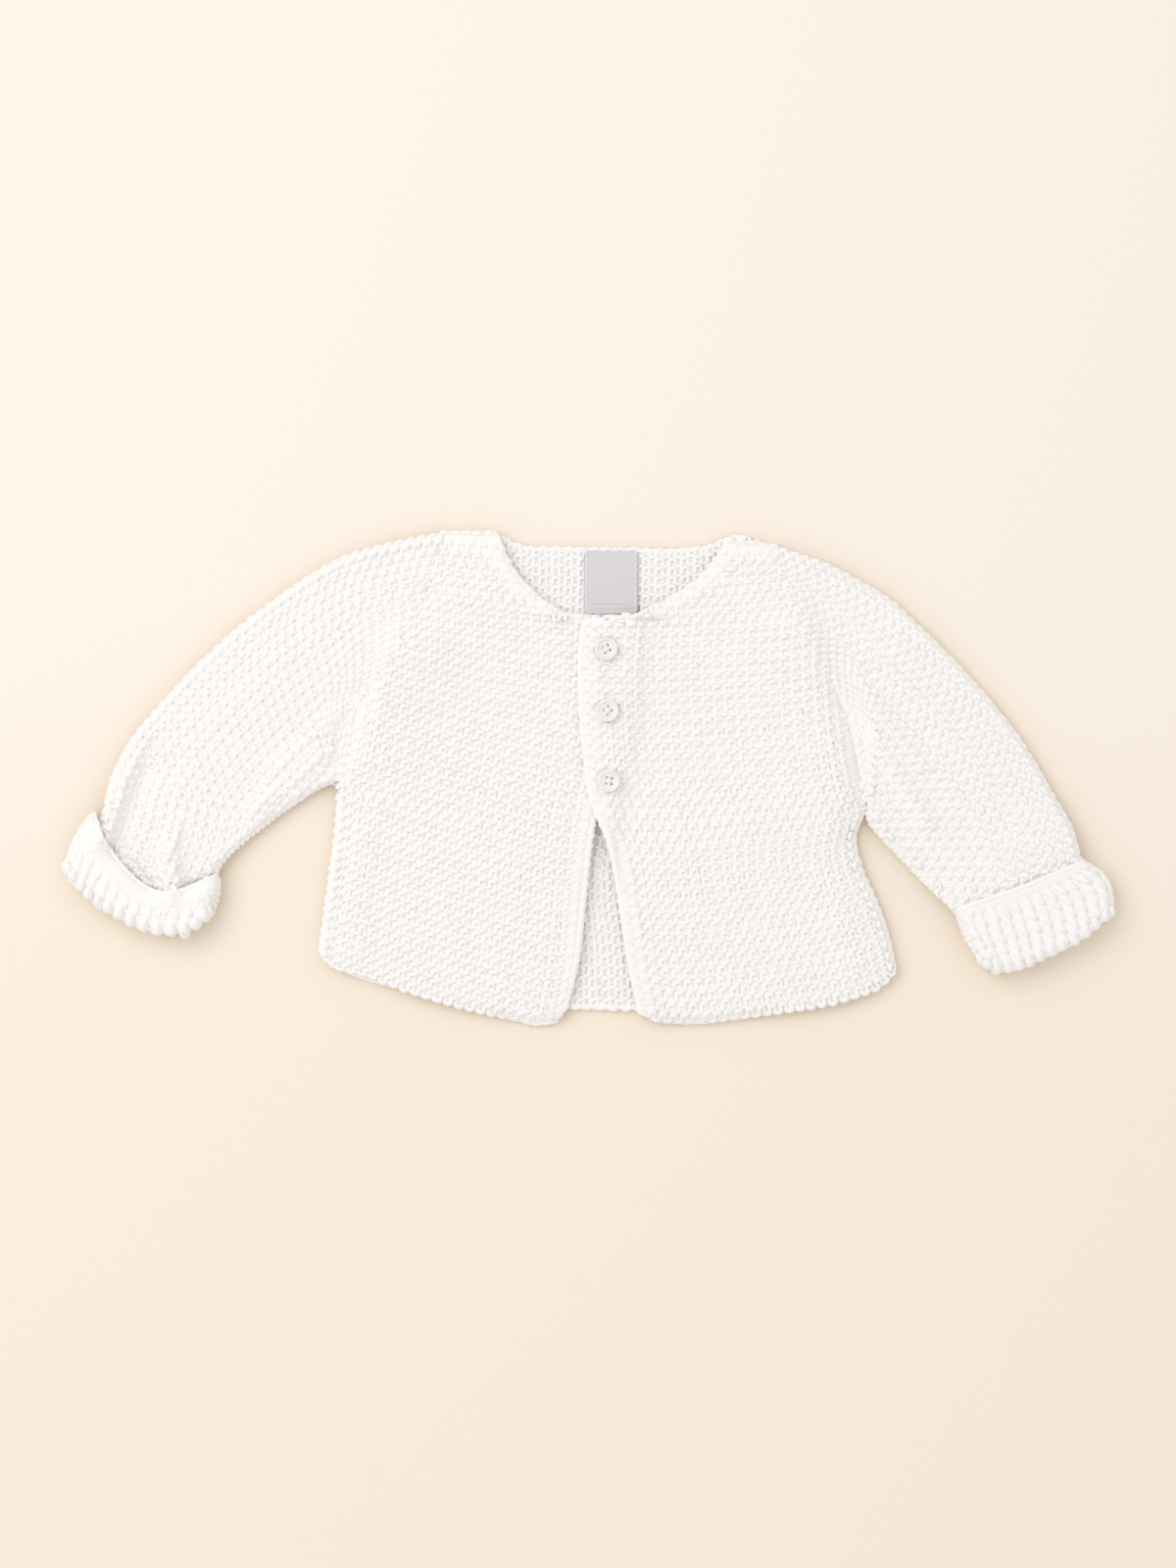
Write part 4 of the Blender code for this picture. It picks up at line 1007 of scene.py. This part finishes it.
def sleeveShape(sleeve):
    wall, pocket = cloth["wall"], cloth["seamGap"]
    cuffOuter = 2 * wall + pocket
    side, top, under, turnedEdge, foldLine, cuffTop, cuffUnder = (
        curveThrough(sleeve[key])
        for key in ("side", "top", "under", "turnedEdge", "foldLine", "cuffTop", "cuffUnder"))

    def bodySide(across):
        return side(total - np.asarray(across, float) * (total - rows["armpit"]))

    def sleeveEnd(across):
        share = np.asarray(across, float)[..., None]
        bow = foldLine(across) - (1 - share) * foldLine(0.0) - share * foldLine(1.0)
        return (1 - share) * top(1.0) + share * under(1.0) + cloth["cuffBow"] * bow

    sleevePlan = patchOf(bodySide, sleeveEnd, top, under)
    cuffPlan = patchOf(turnedEdge, foldLine, cuffTop, cuffUnder)
    length = float(np.linalg.norm(sleeveEnd(0.5) - bodySide(0.5)))
    depth = float(np.linalg.norm(foldLine(0.5) - turnedEdge(0.5)))
    bodyHollow = cloth["seamGap"] + cloth["air"]

    def at(onCuff, along, core, angle, level, gape=0.0, shares=False):
        # core runs from -1 to 1 over the flat of a layer, and angle turns round the folds at its sides
        along, core, angle, level, gape = np.broadcast_arrays(
            *(np.asarray(value, float) for value in (along, core, angle, level, gape)))
        plan, outerLevel = (cuffPlan, cuffOuter) if onCuff else (sleevePlan, wall)
        edges = plan(along, np.ones_like(along)), plan(along, np.zeros_like(along))
        width = np.linalg.norm(edges[0] - edges[1], axis=-1)
        fromRoot = 1.0 if onCuff else smooth(along / cloth["sleeveRoot"])
        hollow = bodyHollow + (cloth["sleeveHollow"] - bodyHollow) * fromRoot
        toEnd = 0.0 if onCuff else (1 - along) * length
        base = (wall + pocket) * (1 - smooth((toEnd - cloth["cuffLevel"]) / cloth["cuffRise"]))
        middle = base + wall + 0.5 * hollow
        radius = 0.5 * hollow + level
        coreHalf = 0.5 * width - (0.5 * hollow + outerLevel)
        across = 0.5 + (core * coreHalf + radius * np.cos(angle)) / width
        here = plan(along, across)
        upper = np.maximum(0.0, np.sin(angle))
        lift = foldLift(sleeve["folds"] + ([] if onCuff else sleeve["pleats"]), here)
        lift = lift + foldLift(bodyFolds, here)
        lift = np.maximum(lift, cloth["seamGap"] - hollow) * (1 - (2 * across - 1) ** 6) + gape
        points = at3(here, middle + radius * np.sin(angle) + upper * lift)
        return (points, across) if shares else points

    return at, length, depth, top


def ringPlaces(flatSteps, capSteps):    # once round a sleeve, over its two layers and two folds
    core = np.concatenate([np.linspace(-1, 1, flatSteps + 1), np.ones(capSteps - 1),
                           np.linspace(1, -1, flatSteps + 1), -np.ones(capSteps - 1)])
    cap = np.pi * np.arange(1, capSteps) / capSteps
    angle = np.concatenate([np.full(flatSteps + 1, np.pi / 2), np.pi / 2 - cap,
                            np.full(flatSteps + 1, -np.pi / 2), -np.pi / 2 - cap])
    return core, angle


def facePlaces(flatSteps, capSteps):    # from the outermost line of the top fold over one face
    cap = np.linspace(0, np.pi / 2, capSteps + 1)
    core = np.concatenate([-np.ones(capSteps), np.linspace(-1, 1, flatSteps + 1), np.ones(capSteps)])
    angle = np.concatenate([np.pi - cap[:-1], np.full(flatSteps + 1, np.pi / 2), np.pi / 2 - cap[1:]])
    return core, angle


def makeSleeve(name, sleeve, gaps):
    at, length, depth, top = sleeveShape(sleeve)
    wall, groundTop, gape = cloth["wall"], cloth["ground"], sleeve["gape"]
    cuffInner = wall + cloth["seamGap"]
    cuffOuter = cuffInner + wall
    sleeveTurn, cuffTurn = (1 - sleevePanel["turn"] * wall / reach for reach in (length, depth))
    rimAt = cloth["inset"] / depth
    core, angle = ringPlaces(36, 8)

    def ring(onCuff, along, level, opened=0.0):
        return at(onCuff, along, core, angle, level, opened)

    folded = sleevePanel["foldFill"] * cloth["bandFill"] * np.cos(angle) ** 2
    outside = []
    for along in np.linspace(0, sleeveTurn, 56):
        full = smooth((along - sleevePanel["fullFrom"]) / sleevePanel["fullOver"])
        outside.append(ring(False, along, groundTop + (wall - groundTop) * full + folded))
    turnedIn = [ring(True, rimAt + share * (cuffTurn - rimAt), cuffInner, gape * (1 - share))
                for share in np.linspace(0.95, 0.0, 9)]
    turnedOut = []
    for share in np.linspace(0.0, 0.95, 13):
        along = rimAt + share * (cuffTurn - rimAt)
        pastBand = along * depth - sleevePanel["bandShare"] * sleeve["smoothBand"]
        fill = cloth["bandFill"] * (1 - smooth(pastBand / sleevePanel["fillSlope"]))
        turnedOut.append(ring(True, along, cuffInner + groundTop + fill, gape * (1 - share)))
    fold = [ring(True, cuffTurn + (1 - cuffTurn - sleeve["foldInset"] / depth) * np.sin(turn),
                 (cuffInner + groundTop) * 0.5 * (1 + np.cos(turn)))
            for turn in np.radians([30, 60, 90, 120, 150])]
    inside = [ring(False, along, 0.0) for along in np.linspace(sleeveTurn, 0, 30)]
    rings = np.array(outside + turnedIn + turnedOut + fold + inside)
    index = vertexNumbers(rings, closedUp=True, closedAcross=True)
    shell = faceOut(makeMesh(name + "Cloth", rings.reshape(-1, 3), gridFaces(index), ground))

    core, angle = facePlaces(70, 8)
    along = np.linspace(0, sleevePanel["stitched"], 80)[:, None]
    topLine = top(np.linspace(0, 1, 80))
    edge = wall + 0.5 * cloth["sleeveHollow"]
    faces = []
    for side in (1.0, -1.0):
        points, across = at(False, along, core[None], side * angle[None], wall, shares=True)
        flat = np.abs(distanceTo(topLine, points[..., :2]))
        away = edge * np.arccos(np.clip(1 - flat / edge, 0, 1)) + np.maximum(flat - edge, 0.0)
        number = total - np.maximum.accumulate(away, axis=1) / stitch["sleeveRidge"]
        ofBody = total - (total - rows["armpit"]) * across
        join = 1 - smooth(along * length / sleevePanel["joinReach"])
        join = join * (1 - smooth((across - sleevePanel["joinFrom"]) / sleevePanel["joinOver"]))
        number = number * (1 - join) + ofBody * join
        firstAt = {row: stitch["pitch"] - gap for row, gap in gaps.items()} if side > 0 else None
        faces.append(layRows(points, number, side, stitch["pitch"], anchor=38, margins=(0.0, 0.3),
                             firstAt=firstAt)[0])
    stitches = [layStitches(name + kind, laid, stitch["sleeveRidge"], loops, **look)
                for kind, laid, loops, look in (
                    ("Stitches", faces[0], openLoops, sleevePanel["upper"]),
                    ("UnderStitches", faces[1], closeLoops, sleevePanel["under"]))]

    core, angle = facePlaces(40, 8)
    shares = np.linspace(0.02, cuffTurn, 14)
    turns = np.radians([30, 60, 90, 120, 150, 180])
    cuffAlong = np.concatenate([shares, cuffTurn + (1 - cuffTurn) * np.sin(turns)])
    level = np.concatenate([np.full(len(shares), cuffOuter), cuffOuter * 0.5 * (1 + np.cos(turns))])
    opened = np.concatenate([gape * (1 - shares), np.zeros(len(turns))])
    faces, knobs = [], []
    for side in (1.0, -1.0):
        points = at(True, cuffAlong[:, None], core[None], side * angle[None], level[:, None],
                    opened[:, None])
        reach = lengthAlong(points[6])    # round the cuff, about midway up
        reach *= round(reach[-1] / sleeve["rib"]) / reach[-1]    # a whole number of ribs
        number = np.broadcast_to(reach, points.shape[:2]).copy()
        faces.append(layRows(points, -number, side, stitch["pitch"], margins=(0.6, 2.0), lead=0.9)[0])
        ribs = np.arange(round(reach[-1])) + 0.5
        folded = points[len(shares) + 2]    # the line along which the cuff is folded
        way = (folded - points[len(shares) - 2]) * [1, 1, 0]
        knobs.append([sampled(np.broadcast_to(grid, folded.shape), reach, ribs)
                      for grid in (folded, -side * upwards, way)])
    toss = np.random.default_rng(stitch["seed"]).random(sum(len(laid["row"]) for laid in faces))
    laid = joinedUp(faces)
    beside = laid["fromStart"] < sleeve["smoothBand"] * (0.7 + 0.3 * toss)
    stitches.append(layStitches(name + "CuffBandStitches", pickedFrom(laid, beside), sleeve["rib"],
                                edgeLoops, **sleevePanel["band"]))
    sink = 0.5 * sleeve["knob"] - sleevePanel["proud"]
    rest = pickedFrom(laid, ~beside)
    stitches.append(layLinks(name + "CuffStitches", rest["place"] - sink * rest["outward"],
                             rest["alongRow"], rest["outward"],
                             {**sleevePanel["ribs"], "thickness": sleeve["rope"]}))
    places, ways, outs = (np.concatenate(values) for values in zip(*knobs))
    places[:, 2] = np.maximum(places[:, 2], 0.5 * cuffOuter + sleevePanel["knobs"]["lift"])
    stitches.append(layLinks(name + "CuffKnobs", places - sink * unitOf(outs), ways, outs,
                             {**sleevePanel["knobs"], "length": 2 * cuffOuter - sleeve["knob"],
                              "thickness": sleeve["knob"]}))

    look = sleevePanel["edge"]
    core, angle = ringPlaces(36, 8)
    rimLine = at(True, look["inset"] / depth, core, angle, cuffInner + look["radius"], gape)
    stitches.append(layCord(name + "CuffEdge", [rimLine], look["radius"], closed=True))
    look = sleevePanel["seam"]
    seams = []
    for onCuff, run, level, opened in (
        (False, np.linspace(0.0, look["sleeveEnd"], 60), 0.5 * wall, 0.0),
        (True, np.linspace(look["cuffStart"], cuffTurn, 30), cuffOuter - 0.5 * wall, gape),
    ):
        opened = opened * (1 - run)
        line = at(onCuff, run, 1.0, 0.0, level, opened)
        seams.append((line, unitOf(line - at(onCuff, run, 0.5, 0.0, level, opened)) + 0.3 * upwards))
    stitches.append(layEdge(name + "Seam", seams, look))
    return shell, stitches, cutArea(np.array(outside), np.array(turnedOut))


print("making the body")
back = makeBack()
*rightFront, rightGaps = makeFront("rightFront", rightSide, rightEdge, rightHem, False)
*leftFront, leftGaps = makeFront("leftFront", leftSide, leftEdge, leftHem, True)
print("making the sleeves")
sleeveRight = makeSleeve("rightSleeve", rightSleeve, rightGaps)
sleeveLeft = makeSleeve("leftSleeve", leftSleeve, leftGaps)


# Neck label

label = {
    "corner": 2.2,      # how far its corners are rounded
    "inset": 0.4,       # from the outline of its node
    "thickness": 0.35, "lift": 0.1,
    "wave": 0.09,       # height of its soft waves
    "stitches": {"length": 2.6, "thickness": 0.5, "slant": 0.0, "bend": 0.9, "pitch": 3.1,
                 "unevenness": 0.06, "seed": 5, "lift": 0.25},
}


def makeLabel():
    low, high = (np.array(corner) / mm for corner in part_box("label"))
    middle, half = 0.5 * (low + high), 0.5 * (high - low) - label["inset"]
    u, v = np.meshgrid(np.linspace(-1, 1, 25), 2 * crowded(41) - 1, indexing="ij")
    corner = label["corner"]
    pastCorner = np.clip(1 - (1 - np.abs(v)) * half[1] / corner, 0, 1)
    plan = np.stack([middle[0] + u * (half[0] - corner * (1 - np.sqrt(1 - pastCorner**2))),
                     middle[1] + v * half[1]], axis=-1)
    wave = label["wave"] * (np.sin(2.4 * u + 0.8 * v) + np.sin(3.7 * v - 1.1 * u) + smooth(-2 * v - 0.9))
    height = low[2] + label["lift"] + wave
    face = at3(plan, height + label["thickness"])
    piece = makeWall("neckLabel", face, at3(plan, height), makeLabelFinish(middle, half))
    threadLift = label["stitches"]["lift"] * upwards
    sewn = [line + threadLift for line in (face[1, 2:-2], face[-2, 2:-2], face[2:-2, -2])]
    return piece, layEdge("labelStitches", [(line, np.broadcast_to(upwards, line.shape)) for line in sewn],
                          label["stitches"])


# Buttons

button = {
    "turns": (28.0, 42.0, -7.0),    # how far each button's holes are turned
    "holeRadius": 0.72, "holePlace": 1.95, "steps": 72, "holeSteps": 24,
    "section": [(0.0, 0.0), (0.78, 0.0), (0.93, 0.06), (0.99, 0.28), (1.0, 0.5), (0.985, 0.74),
                (0.95, 0.9), (0.9, 0.98), (0.85, 1.0), (0.8, 0.985), (0.75, 0.93), (0.7, 0.84),
                (0.64, 0.76), (0.56, 0.71), (0.0, 0.7)],    # share of the radius and of the height
    "dish": 0.7,                    # share of the height at which the holes lie
    "sharpAngle": 32,
    "thread": {"length": 3.9, "thickness": 1.0, "slant": 0.0, "bend": 0.9, "pitch": 9.0,
               "unevenness": 0.0, "seed": 9, "lift": 0.32, "overlap": 0.25, "down": 3.8, "up": 0.2},
}


def circleOf(steps):
    turn = np.linspace(0, 2 * np.pi, steps, endpoint=False)
    return np.stack([np.cos(turn), np.sin(turn)], axis=1)


def makeButton(number, turn, finish):
    node = f"button_{number}"
    low, high = (np.array(corner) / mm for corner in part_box(node))
    middle, radius, tall = 0.5 * (low + high), 0.5 * (high[0] - low[0]), high[2] - low[2]
    circle = circleOf(button["steps"])
    rings = np.array([at3(middle[:2] + radius * share * circle, low[2] + tall * height)
                      for share, height in button["section"][1:-1]])
    index = vertexNumbers(rings, closedAcross=True)
    faces, count = gridFaces(index), rings.shape[0] * rings.shape[1]
    poles = [[*middle[:2], low[2] + tall * button["section"][end][1]] for end in (0, -1)]
    for ring, pole in ((index[0], count), (index[-1][::-1], count + 1)):
        faces += [[b, a, pole] for a, b in zip(ring[:-1], ring[1:])]
    vertices = np.concatenate([rings.reshape(-1, 3), poles])
    piece = faceOut(makeMesh(f"button{number}", vertices, faces, finish))

    corners = np.radians(turn + 45 + 90 * np.arange(4))
    holes = middle[:2] + button["holePlace"] * np.stack([np.cos(corners), np.sin(corners)], axis=1)
    steps = button["holeSteps"]
    bore = button["holeRadius"] * circleOf(steps)
    drill = np.concatenate([at3(hole + bore, height)
                            for hole in holes for height in (low[2] - 1, high[2] + 1)])
    side = np.arange(steps)
    bit = [side[::-1].tolist(), (side + steps).tolist()]
    bit += np.column_stack((side, np.roll(side, -1), np.roll(side, -1) + steps, side + steps)).tolist()
    bits = [[corner + 2 * steps * k for corner in face] for k in range(len(holes)) for face in bit]
    cutter = makeMesh("holes", drill, bits, finish)
    cut = piece.modifiers.new("holes", "BOOLEAN")
    cut.object, cut.operation, cut.solver = cutter, "DIFFERENCE", "EXACT"
    mesh = keepShape(piece)
    mesh.shade_smooth()
    mesh.set_sharp_from_angle(angle=math.radians(button["sharpAngle"]))
    bpy.data.objects.remove(cutter)
    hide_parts(node)

    look, dish = button["thread"], low[2] + button["dish"] * tall
    threads = []
    for k in (0, 1):    # one thread over the other
        line = at3(holes[[k, k + 2]], dish + look["lift"] + look["overlap"] * k)
        threads.append((line, np.broadcast_to(upwards, line.shape)))
    for hole in holes:    # where the thread goes down through the button
        line = np.array([[*hole, dish - look["down"]], [*hole, dish - look["up"]]])
        threads.append((line, np.broadcast_to([1.0, 0.0, 0.0], line.shape)))
    return piece, threads


labelPiece, labelThread = makeLabel()
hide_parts("label")
buttonFinish = makeButtonFinish()
buttons, crossings = [], []
for number, turn in enumerate(button["turns"], 1):
    piece, threads = makeButton(number, turn, buttonFinish)
    buttons.append(piece)
    crossings += threads
buttonThread = layEdge("buttonThread", crossings, button["thread"])
print("label and buttons made")


# Floor, light and camera

studio = {
    "floorSize": 3.0, "floorLevel": -0.15, "sky": (1.0, 0.985, 0.965, 1.0), "skyStrength": 0.85,
    "keyPlace": (-1.1, 0.7, 1.8), "keySize": 1.8, "keyWatts": 14.0,
    "lens": 85.0, "sensor": 36.0, "cameraPlace": (-0.00075, -0.00225, 1.896),
}


def makeFloorFinish():
    # painted light falloff: the floor's colour runs lighter towards +Y and darker towards -Y, as if the
    # lamp's light fell off over it; the faint grain noise on it is the floor's own
    look = {"far": (0.93, 0.85, 0.775), "near": (0.90, 0.815, 0.70), "roughness": 0.9,
            "nearY": -0.16, "farY": 0.12, "grain": 40.0, "grainShare": 0.04,
            "paintedShadow": (0.80, 0.64, 0.44), "reach": 0.018, "tintShare": 0.8}
    material, tree, shader, where = startFinish("paleTable", look["near"], look["roughness"])
    place = addNode(tree, "ShaderNodeSeparateXYZ", {"Vector": where}).outputs
    paintedFalloff = addNode(tree, "ShaderNodeMapRange", {"Value": place["Y"], 1: look["nearY"], 2: look["farY"]},
                      interpolation_type="SMOOTHSTEP")
    cloud = maths(tree, "MULTIPLY", noiseAt(tree, where, look["grain"], 3.0), look["grainShare"])
    plain = blendOf(tree, maths(tree, "ADD", paintedFalloff.outputs[0], cloud), look["near"], look["far"])
    # painted shadow: an ambient-occlusion node turns the floor's colour towards a warm tan where the garment
    # closes it in
    closed = addNode(tree, "ShaderNodeAmbientOcclusion", {"Distance": look["reach"]}, samples=8)
    shaded = maths(tree, "MULTIPLY", maths(tree, "SUBTRACT", 1.0, closed.outputs["AO"]), look["tintShare"])
    tree.links.new(blendOf(tree, shaded, plain, look["paintedShadow"]), shader["Base Color"])
    return material


def makeStage():
    half, level = 0.5 * studio["floorSize"] / mm, studio["floorLevel"]
    corners = [(-half, -half, level), (half, -half, level), (half, half, level), (-half, half, level)]
    makeMesh("floor", corners, [(0, 1, 2, 3)], makeFloorFinish())
    world = bpy.data.worlds.new("studio")
    world.use_nodes = True
    sky = world.node_tree.nodes["Background"].inputs
    sky["Color"].default_value = studio["sky"]
    sky["Strength"].default_value = studio["skyStrength"]
    bpy.context.scene.world = world
    bpy.context.scene.view_settings.view_transform = "Standard"
    lamp = bpy.data.lights.new("key", "AREA")
    lamp.shape, lamp.size, lamp.energy = "DISK", studio["keySize"], studio["keyWatts"]
    holder = addObject("key", lamp)
    holder.location = studio["keyPlace"]
    aim = -np.array(studio["keyPlace"]) / np.linalg.norm(studio["keyPlace"])
    holder.rotation_euler = (math.acos(-aim[2]), 0.0, math.atan2(-aim[0], aim[1]))


def makeCamera():
    camera = bpy.data.cameras.new("overhead")
    camera.lens, camera.sensor_width = studio["lens"], studio["sensor"]
    holder = addObject("overhead", camera)
    holder.location = studio["cameraPlace"]
    bpy.context.scene.camera = holder


makeStage()
makeCamera()
print("floor, light and camera made")


# Each panel's part in model.glb is hidden, and its pieces are pressed flat where they rest and put on the
# body. The width and length that each panel takes up when it lies flat and unfolded, whether it lies laid or
# folded, and the panels under it are listed here but not used.
for (shell, extras, area), node, flat, held, under in (
    (back, "back", (0.295, 0.245), "laid", []),
    (rightFront, "front_right", (0.158, 0.25), "laid", ["back"]),
    (leftFront, "front_left", (0.163, 0.25), "laid", ["back", "front_right"]),
    (sleeveRight, "sleeve_right", (0.29, 0.3), "folded", []),
    (sleeveLeft, "sleeve_left", (0.29, 0.3), "folded", []),
):
    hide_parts(node)
    for piece in (shell, *extras):
        pressFlat(piece)
        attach(piece, bodyName)
    print(shell.name, "cut area", round(area, 4))
    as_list(under)
    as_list(extras)
for piece, slot in ((labelPiece, "label"), (labelThread, "label"), (buttonThread, "knit"),
                    *((piece, "button") for piece in buttons)):
    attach(piece, bodyName)
print("pieces on their body")
